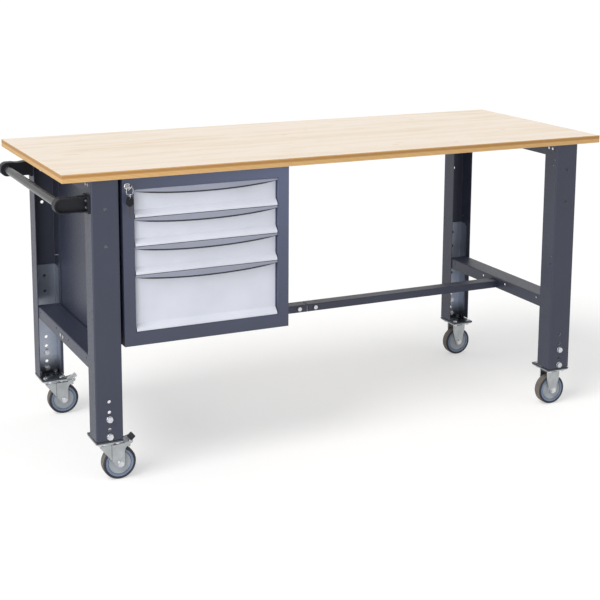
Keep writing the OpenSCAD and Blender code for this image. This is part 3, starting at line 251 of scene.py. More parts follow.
def ply_edge(name):
    """Sanded plywood edge: thin plies, darker in the upper half, under a pale top ply."""
    light, dark, end_grain = srgb("D8B27A"), srgb("B58545"), srgb("C79A5C")
    dark_band, fleck_tone = srgb("9A6A2E"), srgb("8F6430")
    board_z, ply, wander = 0.891, 0.00185, 0.0012
    # Heights over which the darker upper half starts and ends
    dark_from, dark_to = (0.9025, 0.9055), (0.9115, 0.9135)
    t = Tree(name, light, 0.55)
    waver = t.times(t.maths("SUBTRACT", t.noise(9, 2), 0.5), wander)
    height = t.maths("ADD", t.axis(AXIS_Z), waver)
    plies = t.times(t.maths("SUBTRACT", height, board_z), 1 / ply)
    band = t.ramp(t.maths("SINE", t.times(plies, math.pi)), -0.5, 0.5)
    grain = t.noise(260, 4, t.scaled(0.12, 0.12, 3.5))
    body = t.mix(band, light, t.mix(t.ramp(grain, 0.3, 0.7), dark, end_grain))
    upper = t.times(t.ramp(height, *dark_from), t.ramp(height, *dark_to, 1, 0))
    body = t.mix(t.times(upper, 0.75), body, dark_band)
    body = t.mix(t.times(t.ramp(grain, 0.45, 0.8), 0.22), body, fleck_tone)
    t.base(body)
    t.bump(t.maths("ADD", t.times(band, 0.5), grain), 0.12, COARSE)
    return t.material


def plastic(name, colour, roughness, grain=0.12, specular=0.5):
    """Moulded plastic with a fine spark eroded texture."""
    cloud_scale, gloss_scale, grain_scale = 30, 220, 900
    t = Tree(name, colour, roughness, specular=specular)
    clouds = t.ramp(t.noise(cloud_scale, 3), 0.3, 0.7)
    t.base(t.mix(clouds, tone(colour, 0.88), tone(colour, 1.12)))
    t.rough(t.ramp(t.noise(gloss_scale, 2), 0.3, 0.7, roughness - 0.06, roughness + 0.08))
    t.bump(t.noise(grain_scale, 3), grain, FINE)
    return t.material


def rubber(name, colour):
    """Dull rubber with dusty patches."""
    dust_scale, gloss_scale, grain_scale = 45, 300, 1200
    t = Tree(name, colour, 0.72)
    dust = t.ramp(t.noise(dust_scale, 4), 0.4, 0.75)
    t.base(t.mix(dust, tone(colour, 0.85), tone(colour, 1.25)))
    t.rough(t.ramp(t.noise(gloss_scale, 2), 0.3, 0.7, 0.66, 0.82))
    t.bump(t.noise(grain_scale, 2), 0.12, COARSE)
    return t.material


DULL = 0.22
FRAME = powder_coat("anthracite_powder", srgb("303445"), 0.44)
# The cabinet's paint carries painted light, paler up and to the right
CABINET = powder_coat("cabinet_powder", srgb("363B4D"), 0.36, painted_light=2.3)
LIGHT = powder_coat("light_grey_powder", srgb("CCCFD9"), 0.42, 0.07)
GRIP = powder_coat("grip_powder", srgb("8F93A3"), 0.34)
# Dark paint that stands for the shadow in the grips' recess
SHADE = powder_coat("grip_painted_shadow", srgb("2B2C31"), 0.7)
TRAY = powder_coat("tray_powder", srgb("C9CDD6"), 0.45, 0.08)
GALVANISED = galvanised("galvanised_sheet", (0.42, 0.46, 0.54))
ZINC = bright_zinc("bright_zinc", (0.62, 0.63, 0.66), 0.27)
CASTER = bright_zinc("caster_zinc", (0.42, 0.44, 0.45), 0.36, 35)
# Painted shadow that stands for the brackets' slot
SLOT_SHADOW = plastic("slot_shadow", srgb("17181D"), 0.7, 0.06)
# Dark zinc that stands for the shade in the forks' crease
CREASE_SHADE = bright_zinc("caster_crease_painted_shade", (0.14, 0.15, 0.15), 0.5, 35)
RUNNER = bright_zinc("runner_steel", (0.55, 0.57, 0.60), 0.3)
CHROME = bright_zinc("polished_chrome", (0.56, 0.56, 0.57), 0.16, 90)
BAR = powder_coat("satin_bar_paint", srgb("27292C"), 0.22, 0.04, specular=DULL)
BLACK = plastic("black_plastic", srgb("1E1F25"), 0.48, specular=DULL)
PEDAL = plastic("pedal_plastic", srgb("34363F"), 0.42, specular=DULL)
KEY = plastic("key_plastic", srgb("15161A"), 0.4, specular=DULL)
RUBBER = rubber("grey_rubber", srgb("6A645E"))
# A darker copy of the tread rubber: painted shade on the sidewalls
SIDEWALL_SHADE = rubber("rubber_sidewall_shade", srgb("2E2D33"))
HUB = plastic("hub_plastic", srgb("999FA5"), 0.42, 0.06)
HUB_RING = plastic("hub_ring_plastic", srgb("74829B"), 0.42, 0.06)
# Painted shadow in the gap at the hub disc's rim
HUB_GAP_SHADE = plastic("hub_gap_painted_shade", srgb("3A3F4C"), 0.6, 0.06)
STEEL = bright_zinc("key_steel", (0.10, 0.092, 0.085), 0.4, 90)
BIRCH = birch_face("birch_veneer")
EDGE = ply_edge("plywood_edge")


# Shapes
class Shape:
    """Collects faces in table millimetres, then becomes one object."""

    def __init__(self):
        self.points, self.faces, self.paint = [], [], []

    def grid(self, rows, paint=0, closed=False, ends=False):
        """Faces between rows of points; closed joins each row's end to its start, ends caps
        the first and last row. paint is one material's place, or a list of one a column."""
        n = len(rows[0])
        first = len(self.points)
        self.points += [tuple(p) for row in rows for p in row]
        for i in range(len(rows) - 1):
            for j in range(n if closed else n - 1):
                k = (j + 1) % n
                corners = (i * n + j, i * n + k, (i + 1) * n + k, (i + 1) * n + j)
                self.faces.append([first + c for c in corners])
                self.paint.append(paint[j] if isinstance(paint, list) else paint)
        if ends:
            last = first + (len(rows) - 1) * n
            self.faces.append([first + j for j in range(n)][::-1])
            self.faces.append([last + j for j in range(n)])
            self.paint += [0, 0]
        return self

    def turned(self, section, centre, axis="y", paint=0, steps=64, closed=True):
        """A section of (radius, height) turned about an axis through centre."""
        rows = []
        for i in range(steps):
            a = 2 * math.pi * i / steps
            c, s = math.cos(a), math.sin(a)
            rows.append([{"y": (r * s, h, r * c), "z": (r * c, r * s, h)}[axis]
                         for r, h in section])
        rows.append(rows[0])
        rows = [[tuple(p[i] + centre[i] for i in range(3)) for p in row] for row in rows]
        return self.grid(rows, paint, closed=closed)

    def prism(self, outline, low, high, along="y"):
        """An outline of two coordinates, drawn out along the third."""
        def point(a, b, h):
            return {"y": (a, h, b), "z": (a, b, h)}[along]
        rows = [[point(a, b, h) for a, b in outline] for h in (low, high)]
        return self.grid(rows, closed=True, ends=True)

    def box(self, low, high):
        (x0, y0, z0), (x1, y1, z1) = low, high
        return self.prism([(x0, y0), (x1, y0), (x1, y1), (x0, y1)], z0, z1, "z")

    def place(self, name, body, slot, materials, stands_for, bevel=0.0, segments=2, sheet=0.0,
              smooth=32, weld=0.001):
        """Makes the object, rides it on its body and replaces a CAD node with it."""
        mesh = bpy.data.meshes.new(name)
        mesh.from_pydata([at(*p) for p in self.points], [], self.faces)
        for material in materials if isinstance(materials, list) else [materials]:
            mesh.materials.append(material)
        for polygon, paint in zip(mesh.polygons, self.paint):
            polygon.material_index = paint
            polygon.use_smooth = True
        b = bmesh.new()
        b.from_mesh(mesh)
        bmesh.ops.remove_doubles(b, verts=b.verts, dist=weld / MM_IN_M)
        bmesh.ops.recalc_face_normals(b, faces=b.faces)
        b.to_mesh(mesh)
        b.free()
        thing = bpy.data.objects.new(name, mesh)
        bpy.context.scene.collection.objects.link(thing)
        if sheet:
            m = thing.modifiers.new("sheet", "SOLIDIFY")
            m.thickness, m.offset, m.use_even_offset = sheet / MM_IN_M, 0, True
        finish(thing, bevel, segments, smooth)
        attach(thing, body)
        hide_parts(stands_for)


def finish(thing, bevel, segments=2, smooth=32):
    """Eases the edges and evens the shading."""
    face_weight = 60
    if bevel:
        m = thing.modifiers.new("eased", "BEVEL")
        m.width, m.segments, m.limit_method = bevel / MM_IN_M, segments, "ANGLE"
        m.angle_limit, m.miter_outer = math.radians(smooth), "MITER_ARC"
        m.use_clamp_overlap = True
    else:
        thing.data.set_sharp_from_angle(angle=math.radians(smooth))
    m = thing.modifiers.new("even", "WEIGHTED_NORMAL")
    m.keep_sharp, m.weight = True, face_weight


def dress(names, material, bevel=0.4, segments=2):
    """Gives CAD nodes their finish and eased edges."""
    weld_m, flat_angle = 0.00001, 0.6
    for name in names:
        attributes = nodes[name].data.attributes
        for key in ("custom_normal", "sharp_face", "sharp_edge"):
            if key in attributes:
                attributes.remove(attributes[key])
        nodes[name].material_slots[0].material = material
        m = nodes[name].modifiers.new("joined", "WELD")
        m.merge_threshold = weld_m
        m = nodes[name].modifiers.new("planes", "DECIMATE")
        m.decimate_type, m.angle_limit = "DISSOLVE", math.radians(flat_angle)
        finish(nodes[name], bevel, segments)


def arc(centre, radius, start, end, steps):
    """Points of an arc, angles in degrees."""
    angles = [start + (end - start) * i / steps for i in range(steps + 1)]
    return [(centre[0] + radius * cosd(a), centre[1] + radius * sind(a)) for a in angles]


def rounded(points, radius, steps=4):
    """A path with its inner corners rounded, at most over a share of each side."""
    most = 0.45
    made = [points[0]]
    for a, b, c in zip(points, points[1:], points[2:]):
        a, b, c = Vector(a), Vector(b), Vector(c)
        r = min(radius, (a - b).length * most, (c - b).length * most)
        start, end = b + (a - b).normalized() * r, b + (c - b).normalized() * r
        for i in range(steps + 1):
            s = i / steps
            made.append(tuple(start.lerp(b, s).lerp(b.lerp(end, s), s)))
    return made + [points[-1]]


# Worktop
BOARD_L, BOARD_D, BOARD_LOW, BOARD_HIGH = 1800, 700, 891, 915


def worktop():
    """The board, veneered above and below, with its plies showing at the edges."""
    s = Shape().box((0, 0, BOARD_LOW), (BOARD_L, BOARD_D, BOARD_HIGH))
    s.paint = [0 if s.points[f[0]][2] == s.points[f[2]][2] else 1 for f in s.faces]
    s.place("worktop_board", "frame", "birch_ply", [BIRCH, EDGE], "worktop", bevel=1.0, segments=3)


worktop()

# Drawers
FRONT_X, FRONT_W = 208.5, 437.0
LIP_Y, FACE_Y = 6.75, 21.0
FRONT_T, REVEAL = 1.5, 1.2
FLARE_LIP, FLARE_H = 6, 20
# Upper and lower limit of each drawer's front, in Z
DRAWERS = ((859.0, 776.4), (776.4, 693.8), (693.8, 611.2), (611.2, 446.0))
# Least depth of a grip, what its curve adds in the middle, and its lean
GRIP_END, GRIP_CURVE, GRIP_SLOPE = 5, 17, 3 / 22


def grip_depth(share):
    """Depth of the grip's flange, from -1 at one end to 1 at the other."""
    return GRIP_END + GRIP_CURVE * max(0.0, 1 - share * share) ** 0.7


def drawer_face(n, low, high):
    """Folded sheet: upright lip, flare, face, and the fold back over the grip."""
    half, fold_r, edge, steps = FRONT_T / 2, 2.2, 4, 24
    lip, face = LIP_Y + half, FACE_Y + half
    path = rounded([(lip, low), (lip, low + FLARE_LIP), (face, low + FLARE_H),
                    (face, high - half), (lip + 0.3, high - half)], fold_r)
    xs = [FRONT_X + i for i in range(edge)]
    xs += [FRONT_X + edge + (FRONT_W - 2 * edge) * i / steps for i in range(steps + 1)]
    xs += [FRONT_X + FRONT_W - edge + i for i in range(1, edge + 1)]
    s = Shape().grid([[(x, y, z) for y, z in path] for x in xs])
    s.place(f"drawer_{n}_face", f"drawer_{n}", "drawer_paint", LIGHT, f"drawer_{n}_front",
            sheet=FRONT_T, bevel=0.25, smooth=40)


def drawer_returns(n, low, high):
    """The front's short side flanges."""
    near, deep, under = 0.8, 4, 0.2
    s = Shape()
    for x in (FRONT_X, FRONT_X + FRONT_W - FRONT_T):
        s.box((x, FACE_Y + near, low + FLARE_H), (x + FRONT_T, FACE_Y + deep, high - under))
    s.place(f"drawer_{n}_returns", f"drawer_{n}", "drawer_paint", LIGHT, f"drawer_{n}_front",
            bevel=0.3)


def drawer_grip(n, high):
    """Curved flange that hangs from the fold, with a recess under its lower edge painted dark as
    shadow.
    """
    columns, half = 64, FRONT_T / 2
    # The gap under the edge, painted as shadow: at the ends, what it gains, and over what depth
    gap_end, gap_more, gap_over = 0.6, 4.4, 9
    lip, top = LIP_Y + half, high - half
    rows = []
    for i in range(columns + 1):
        x = FRONT_X + FRONT_W * i / columns
        depth = grip_depth(2 * i / columns - 1)
        gap = gap_end + gap_more * min(1.0, (depth - GRIP_END) / gap_over)
        hem = depth - gap
        fold = [(2.0, 0), (1.0, 0), (0.35, 0.15), (0, 0.6)]
        row = [(x, lip + dy, top - dz) for dy, dz in fold]
        row += [(x, lip + GRIP_SLOPE * hem * k, high - hem * k) for k in (0.25, 0.5, 0.75)]
        end_y, end_z = lip + GRIP_SLOPE * hem, high - hem
        edge = [(0, 0.6), (0.25, 0.1), (1.1, 0)]
        recess = [(1.25, -gap * 0.5), (1.3, 0.5 - gap), (1.9, 0.45 - gap), (2.0, 2 - gap)]
        row += [(x, end_y + dy, end_z + dz) for dy, dz in edge + recess]
        rows.append(row)
    # The recess columns get the painted shadow
    dark = len(recess)
    Shape().grid(rows, paint=[0] * (len(row) - 1 - dark) + [1] * dark).place(
        f"drawer_{n}_grip", f"drawer_{n}", "drawer_paint", [GRIP, SHADE], f"drawer_{n}_front",
        sheet=1.0, smooth=60)


for number, (front_top, front_bottom) in enumerate(DRAWERS, 1):
    drawer_face(number, front_bottom + REVEAL, front_top - REVEAL)
    drawer_returns(number, front_bottom + REVEAL, front_top - REVEAL)
    drawer_grip(number, front_top - REVEAL)


# Wheels and casters

# Swivel axis or bracket centre of each caster
CASTERS = {"front_left": (122.0, 53.5), "rear_left": (122.0, 646.5),
           "front_right": (1678.0, 53.5), "rear_right": (1678.0, 646.5)}
TRAIL, WHEEL_Z = 38.0, 50.0
# Outside of the forks and brackets, their round end at the axle, and their sheet
SIDE_Y, END_R, FORK_T = 22.75, 12.5, 2.5
PLATE_LOW, PLATE_HIGH, PLATE_X, PLATE_Y, PLATE_R = 125, 128, 40.0, 47.5, 6.0
PIN_X, PIN_Z = 63, 109.0
# How near a turned section comes to its axis
AXIS_R = 0.01

# Half sections as (radius, height from the middle), from the side inwards
TREAD = [(42.2, -13.2), (42.5, -14.4), (43.1, -15.1), (43.9, -15.6), (44.8, -15.9), (45.8, -15.8),
         (47.4, -15.1), (48.7, -13.6), (49.2, -12), (49.5, -11.7), (49.8, -7), (50, 0)]
RIM = [(34.9, -11.2), (34.9, -13.4), (35.4, -14.1), (36.2, -14.4), (37.0, -14.1), (37.5, -13.5),
       (39.2, -13.5), (39.8, -14.1), (40.4, -14.4), (41.5, -14.4), (42.0, -13.8)]
DISC = [(6.1, -20.9), (10.6, -20.9), (11.6, -20.3), (12, -18), (12.4, -15), (13.6, -13.2),
        (16, -12.6), (24, -12.4), (30.6, -12.5), (31.2, -12.9), (31.7, -13.7), (32.8, -13.9),
        (33.5, -13.4), (33.7, -11.6), (34.0, -11.2), (34.8, -11.2)]
WHEEL_STEPS = 96


def mirrored(half):
    """A half section's other half, in the order that closes it."""
    return [(r, -h) for r, h in half[::-1]]


def wheel(corner):
    """Tyre with a dusty tread, and the wheel centre with its disc and ring."""
    x, y = CASTERS[corner]
    centre = (x + (TRAIL if "left" in corner else 0), y, WHEEL_Z)
    # Sidewall painted darker as shade, tread, and sidewall again; the disc, the gap at its rim
    # painted dark as shadow, and the disc again
    tread = Shape().turned(TREAD + mirrored(TREAD[:-1]), centre, steps=WHEEL_STEPS,
                           paint=[1] * 8 + [0] * 6 + [1] * 9)
    tread.place(f"{corner}_tread", f"{corner}_wheel", "grey_rubber", [RUBBER, SIDEWALL_SHADE],
                f"{corner}_tyre", smooth=50)
    s = Shape()
    # The gap's columns are painted shadow
    s.turned(DISC + mirrored(DISC), centre, steps=WHEEL_STEPS,
             paint=[0] * 13 + [2] * 5 + [0] * 14)
    s.turned(RIM + mirrored(RIM), centre, steps=WHEEL_STEPS, paint=1)
    s.place(f"{corner}_wheel_centre", f"{corner}_wheel", "hub_plastic", [HUB, HUB_RING, HUB_GAP_SHADE],
            f"{corner}_hub", smooth=40)


def hex_head(s, centre, axis, across, height, up, washer):
    """Hexagon head or nut with its corners chamfered, on a washer face."""
    r = across / math.sqrt(3)
    chamfer, face = r * 0.1, 1.3
    edge = [(AXIS_R, 0), (washer, 0), (washer, 0.9), (washer - 0.4, face), (AXIS_R, face)]
    side = [(AXIS_R, face), (r - chamfer * 0.6, face), (r, face + chamfer * 0.6),
            (r, height - chamfer), (r - chamfer * 1.6, height), (AXIS_R, height)]
    rim = [(r * 0.8, height - 0.3), (r * 0.8, height + 0.25), (r * 0.74, height + 0.35),
           (AXIS_R, height + 0.35)]
    s.turned([(a, b * up) for a, b in edge], centre, axis, steps=40)
    s.turned([(a, b * up) for a, b in side], centre, axis, steps=6)
    s.turned([(a, b * up) for a, b in rim], centre, axis, steps=32, closed=False)


def bolt_end(s, centre, radius, length):
    """Bolt end that points down, with its tip chamfered."""
    side = [(AXIS_R, 0), (radius, 0), (radius, 1.2 - length), (radius - 1.1, -length),
            (AXIS_R, -length)]
    s.turned(side, centre, "z", steps=32)


def axle_bolt(s, x, y):
    """Axle with a head and a nut outside the sides."""
    reach, axle_r, across, height, washer = 24, 5.95, 15.5, 4.6, 9.4
    hex_head(s, (x, y - reach, WHEEL_Z), "y", across, height, -1, washer)
    hex_head(s, (x, y + reach, WHEEL_Z), "y", across, height, 1, washer)
    section = [(AXIS_R, -reach), (axle_r, -reach), (axle_r, reach), (AXIS_R, reach)]
    return s.turned(section, (x, y, WHEEL_Z), "y", steps=40)


def plate(x, y):
    """Mounting plate with rounded corners."""
    dx, dy = PLATE_X - PLATE_R, PLATE_Y - PLATE_R
    points = []
    for sx, sy, start in ((1, 1, 0), (-1, 1, 90), (-1, -1, 180), (1, -1, 270)):
        points += arc((x + sx * dx, y + sy * dy), PLATE_R, start, start + 90, 5)
    return Shape().prism(points, PLATE_LOW, PLATE_HIGH, "z")


# Fork's side as (distance behind the swivel axis, Z): its front tip, and where its lower
# edge meets the round end
TIP_U, TIP_Z, MEET_U, MEET_Z = -22, 106.0, 28.09, 42.39
CREASE_U, TAIL_U = 12.0, 50.5
TAIL = [(50.5, 84.0), (51.0, 88.6), (52.6, 93.4), (55.6, 98.2), (60, 102.2), (66, 105.4),
        (71.5, 108.0), (74.4, 110.2), (75.6, 112.6), (76, 115.0)]


def fork_low(u):
    """Lower outline of a fork's side, from its front tip round the axle."""
    if u <= MEET_U:
        return TIP_Z + (MEET_Z - TIP_Z) * (u - TIP_U) / (MEET_U - TIP_U)
    return WHEEL_Z - math.sqrt(max(0.0, END_R ** 2 - (u - TRAIL) ** 2))


def fork_shell(corner):
    """Pressed fork: both sides with a crease painted dark as shade, the crown and the tail."""
    x, y = CASTERS[corner]
    bend_r, bend_z, crown, least = 4.75, 106.5, 111.25, 105.8
    lean, crease, crown_y = 0.13, 0.9, 10
    us = [-22, -20, -15, -9, -3, 3, 8, 10.9, CREASE_U, 13.1, 17, 22, MEET_U]
    us += [TRAIL + END_R * sind(a) for a in range(-45, 91, 15)]
    rows = []
    for u in us:
        v = SIDE_Y - lean * max(0.0, CREASE_U - u) - (crease if u == CREASE_U else 0)
        low = min(fork_low(u), least)
        half = [(v, low + (bend_z - low) * share) for share in (0.0, 0.3, 0.602, 0.8, 1.0)]
        half += [(v - bend_r + bend_r * cosd(a), bend_z + bend_r * sind(a))
                 for a in (20, 40, 60, 75, 90)]
        half += [(crown_y, crown), (0.0, crown)]
        rows.append([(x + u, y - v, z) for v, z in half]
                    + [(x + u, y + v, z) for v, z in half[-2::-1]])
    s = Shape()
    before, after = us.index(CREASE_U) - 1, us.index(CREASE_U) + 1
    s.grid(rows[:before + 1])
    # The crease's faces are painted shade
    s.grid(rows[before:after + 1], paint=1)
    s.grid(rows[after:])
    tail_z, tail_rise, tail_most, tail_l, mid_z = 112.5, 5, 117.4, 25.5, 95.2
    step_share, mid_share = 0.72, 0.5
    for side in (-1, 1):
        rows = []
        for u, low in TAIL:
            top = min(tail_z + tail_rise * (u - TAIL_U) / tail_l, tail_most)
            step = bend_z if u == TAIL_U else low + (top - low) * step_share
            middle = mid_z if u == TAIL_U else low + (step - low) * mid_share
            rows.append([(x + u, y + side * SIDE_Y, z) for z in (low, middle, step, top)])
        s.grid(rows)
    s.place(f"{corner}_fork_shell", f"{corner}_swivel", "caster_zinc", [CASTER, CREASE_SHADE],
            f"{corner}_fork", sheet=FORK_T, bevel=0.5, smooth=35, weld=0.05)


def swivel_caster(corner):
    """Fork with its ball dish, the plate with the king pin, and the axle."""
    x, y = CASTERS[corner]
    fork_shell(corner)
    dish = Shape().turned([(9, 112.3), (28.9, 112.3), (28.9, 114.2), (28.4, 117.2), (27.2, 119.2),
                           (25.4, 120.3), (23, 120.7), (9, 120.7)], (x, y, 0), "z", steps=72)
    dish.turned([(AXIS_R, -24.2), (3, -24.2), (3, 24.2), (AXIS_R, 24.2)],
                (x + PIN_X, y, PIN_Z), "y", steps=24)
    dish.place(f"{corner}_fork_dish", f"{corner}_swivel", "caster_zinc", CASTER,
               f"{corner}_fork", bevel=0.3)
    top = plate(x, y)
    top.turned([(13, 121), (26.6, 121), (28, 121.8), (28.6, 123), (28.6, PLATE_LOW),
                (13, PLATE_LOW)], (x, y, 0), "z", steps=72)
    top.turned([(AXIS_R, 104.8), (5, 104.8), (8, 105.8), (10, 107.6), (10, 108.6), (5.9, 108.6),
                (5.9, PLATE_LOW), (AXIS_R, PLATE_LOW)], (x, y, 0), "z", steps=32)
    top.place(f"{corner}_mounting_plate", "frame", "caster_zinc", CASTER,
              f"{corner}_caster_plate", bevel=0.5, smooth=40)
    axle_bolt(Shape(), x + TRAIL, y).place(f"{corner}_axle_bolt", f"{corner}_swivel",
                                           "zinc_fasteners", ZINC, f"{corner}_axle", smooth=28)


def brake_pedal(corner):
    """Sheet arm that wraps its pin, with a nose over the tyre and a tread plate."""
    x, y = CASTERS[corner]
    px, pz, slope = x + PIN_X, PIN_Z, 38
    body, stands_for = f"{corner}_brake", f"{corner}_brake_pedal"

    def along(a, n):
        """A point a along the pedal from its pin, n above its middle."""
        return px + a * cosd(slope) - n * sind(slope), pz + a * sind(slope) + n * cosd(slope)

    wrap_r, wrap_w = 4.2, 20.8
    wrap = [(px + wrap_r * cosd(a), pz + wrap_r * sind(a)) for a in range(-150, 121, 18)]
    path = wrap + [along(5, 4.0), along(8, 1.4), along(10.5, 0.2), along(27.2, 0.2)]
    widths = [wrap_w] * len(wrap) + [18, 13, 11, 11]
    arm = Shape().grid([[(u, y + w * share, z) for share in (-1, -0.5, 0, 0.5, 1)]
                        for (u, z), w in zip(path, widths)])
    arm.place(f"{corner}_pedal_arm", body, "caster_zinc", CASTER, stands_for, sheet=2.4,
              bevel=0.4, smooth=50)

    nose_x, nose_z, nose_r, nose_w = x + 68.3, 98.5, 3.9, 13
    reach = [(px - 3.4, pz - 2), (nose_x - nose_r, nose_z + 1)]
    reach += arc((nose_x, nose_z), nose_r, 190, 375, 8)
    reach += [(nose_x + 3.6, nose_z + 2), (px + 3.8, pz - 1.5)]
    Shape().prism(reach, y - nose_w, y + nose_w).place(
        f"{corner}_pedal_nose", body, "caster_zinc", CASTER, stands_for, bevel=0.6)

    cap = corner == "front_left"
    thick = 3.2 if cap else 1.7
    section = rounded([(9.2, -thick), (26.4, -thick), (27.9, -0.6), (27.6, 1.6),
                       (25.6, thick - 0.4), (18.5, thick - 1.3), (11.4, thick - 0.3),
                       (9.2, thick - 1.2), (9.2, -thick)], 1.0, 3)
    outline = [along(a, n) for a, n in section[:-1]]
    mid_x, mid_z = along(18.6, 0)
    half = [(18, 0.72), (17.4, 0.86), (16, 0.97), (13, 1.0), (6, 1.0)]
    across = [(-v, k) for v, k in half] + [(0, 1.0)] + half[::-1]
    pad = Shape().grid([[(mid_x + (u - mid_x) * k, y + v, mid_z + (z - mid_z) * k)
                         for u, z in outline] for v, k in across], closed=True, ends=True)
    ridge_w = 13.5
    for a in (13.2, 16.0, 21.0, 23.8) if cap else ():
        ridge = [along(a - 0.7, thick - 1.9), along(a - 0.5, thick - 0.4),
                 along(a + 0.5, thick - 0.4), along(a + 0.7, thick - 1.9)]
        pad.prism(ridge, y - ridge_w, y + ridge_w)
    pad.place(f"{corner}_pedal_pad", body, "pedal_plastic" if cap else "caster_zinc",
              PEDAL if cap else ZINC, stands_for, bevel=0.3, smooth=40)


def smooth_step(a):
    a = max(0.0, min(1.0, a))
    return a * a * (3 - 2 * a)


def bracket_width(z):
    """Half width of a fixed bracket's side at a height."""
    waist, widest, top_more, top_h = 92, 11.2, 1.6, 34.5
    if z < WHEEL_Z:
        return math.sqrt(max(0.4, END_R ** 2 - (WHEEL_Z - z) ** 2))
    flare = widest * min(1.0, (z - WHEEL_Z) / (waist - WHEEL_Z))
    return END_R + flare + top_more * max(0.0, z - waist) / top_h


def fixed_bracket(corner):
    """Pressed bracket: flanged edges, a shallow V pressed in, and a strip near its top painted
    dark as a slot's shadow.
    """
    x, y = CASTERS[corner]
    columns, beside_slot, slot_z = 32, 9, 114
    levels = [37.6, 38.4, 40, 42.5, 46, 50, 53, 56, 59, 62, 64, 66, 68, 71, 75, 80, 85, 90, 95,
              100, 104, 106, 108, 111, slot_z, 118, 120.5]
    bend_z, bend_r = levels[-1], 4
    # The flange: how far it turns in, its width, where that starts and over what height
    flange, flange_w, flange_z, flange_h = 3.6, 4.0, 54, 14
    # The V: its depth, foot and top, and the heights over which it runs out there
    press, foot_z, top_z, foot_h, top_h = 1.0, 60, 109, 6, 5
    # The V's half width at its foot, what it gains over a height, and its soft edge
    v_foot, v_more, v_h, v_edge = 2.5, 8.5, 48, 1.8
    shares = [2 * i / columns - 1 for i in range(columns + 1)]
    s = Shape()
    for side in (-1, 1):
        rows = []
        for z in levels:
            w = bracket_width(z)
            inner = v_foot + v_more * (z - foot_z) / v_h
            turned_in = flange * smooth_step((z - flange_z) / flange_h)
            pressed = press * smooth_step((z - foot_z) / foot_h) * smooth_step((top_z - z) / top_h)
            row = []
            for u in [share * w for share in shares]:
                at_edge = smooth_step((abs(u) - (w - flange_w)) / flange_w) ** 1.5
                in_v = smooth_step((inner - abs(u)) / v_edge + 0.5)
                v = SIDE_Y - turned_in * at_edge - pressed * in_v
                row.append((x + u, y + side * v, z))
            rows.append(row)
        for a in (30, 60, 90):
            z, v = bend_z + bend_r * sind(a), SIDE_Y - bend_r + bend_r * cosd(a)
            rows.append([(x + share * bracket_width(z), y + side * v, z) for share in shares])
        slot = levels.index(slot_z)
        s.grid(rows[:slot + 1])
        # The slot is painted shadow on the solid sheet
        s.grid(rows[slot:slot + 2], paint=[0] * beside_slot + [1] * (columns - 2 * beside_slot)
               + [0] * beside_slot)
        s.grid(rows[slot + 1:])
    s.place(f"{corner}_bracket_sides", "frame", "caster_zinc", [CASTER, SLOT_SHADOW],
            f"{corner}_caster_bracket", sheet=FORK_T, bevel=0.35, smooth=38, weld=0.05)
    plate(x, y).place(f"{corner}_mounting_plate", "frame", "caster_zinc", CASTER,
                      f"{corner}_caster_bracket", bevel=0.5)


def caster_bolts():
    """Bolts and nuts of all plates, and the right casters' axles."""
    hole_x, hole_y, head_z = 26, 33.5, 133
    across, head_h, nut_h, washer = 13, 5.0, 6.2, 7.6
    end_z, end_r, end_l = 119.2, 3.95, 2.6
    s = Shape()
    for corner, (x, y) in CASTERS.items():
        for hx in (x - hole_x, x + hole_x):
            for hy in (y - hole_y, y + hole_y):
                hex_head(s, (hx, hy, head_z), "z", across, head_h, 1, washer)
                hex_head(s, (hx, hy, PLATE_LOW), "z", across, nut_h, -1, washer)
                bolt_end(s, (hx, hy, end_z), end_r, end_l)
        if "right" in corner:
            axle_bolt(s, x, y)
    s.place("caster_bolts", "frame", "zinc_fasteners", ZINC, "caster_fasteners", smooth=28)


for corner_name in CASTERS:
    wheel(corner_name)
    if "left" in corner_name:
        swivel_caster(corner_name)
        brake_pedal(corner_name)
    else:
        fixed_bracket(corner_name)
caster_bolts()

# Lock and keys
LOCK_X, LOCK_Y, LOCK_Z = 186.5, 6.0, 869.0
# The second key hangs in this plane
HANG_Y = -17.2
HOUSING = [(6.2, 15.8), (8, 15.8), (8, 4.6), (10.3, 4.4), (10.4, 1.7), (8.4, 1.6), (8.4, 0.05),
           (9.4, -0.1), (9.5, -0.7), (9.2, -1.6), (8.4, -2.2), (7.4, -2.5), (6.5, -2.4),
           (6.2, -1.9)]
KEY_HEAD = [(-6.5, -25.3), (6.5, -25.3), (9.2, -31), (11.3, -43), (10.4, -46.5), (3.0, -53.1),
            (-3.0, -53.1), (-10.4, -46.5), (-11.3, -43), (-9.2, -31), (-6.5, -25.3)]
KEY_BLADE = [(-2.5, -52.8), (-2.5, -81.5), (-1.2, -84.1), (0.8, -84.1), (1.4, -81.6),
             (0.6, -80.0), (1.5, -78), (0.9, -75.6), (2.1, -73.6), (1.2, -71), (2.2, -68.6),
             (1.0, -66), (2.5, -63), (2.5, -52.8)]
KEY_HOLE_Z, KEY_HOLE_R = -30.2, 2.4


def wire(path, name, point):
    """A closed round wire along a flat path; point places the path's plane."""
    radius, steps = 0.8, 12
    rows = []
    for i, (a, b) in enumerate(path):
        before, after = Vector(path[i - 1]), Vector(path[(i + 1) % len(path)])
        run = (after - before).normalized()
        out = Vector((run.y, -run.x))
        origin, right, up = (Vector(point(*flat)) for flat in ((0, 0), (1, 0), (0, 1)))
        normal = (right - origin).cross(up - origin).normalized()
        row = []
        for k in range(steps):
            t = 2 * math.pi * k / steps
            flat = Vector((a, b)) + out * (radius * math.cos(t))
            row.append(tuple(Vector(point(flat.x, flat.y)) + normal * radius * math.sin(t)))
        rows.append(row)
    rows.append(rows[0])
    Shape().grid(rows, closed=True).place(name, "keyring", "lock_chrome", CHROME, "spare_key",
                                          smooth=60)


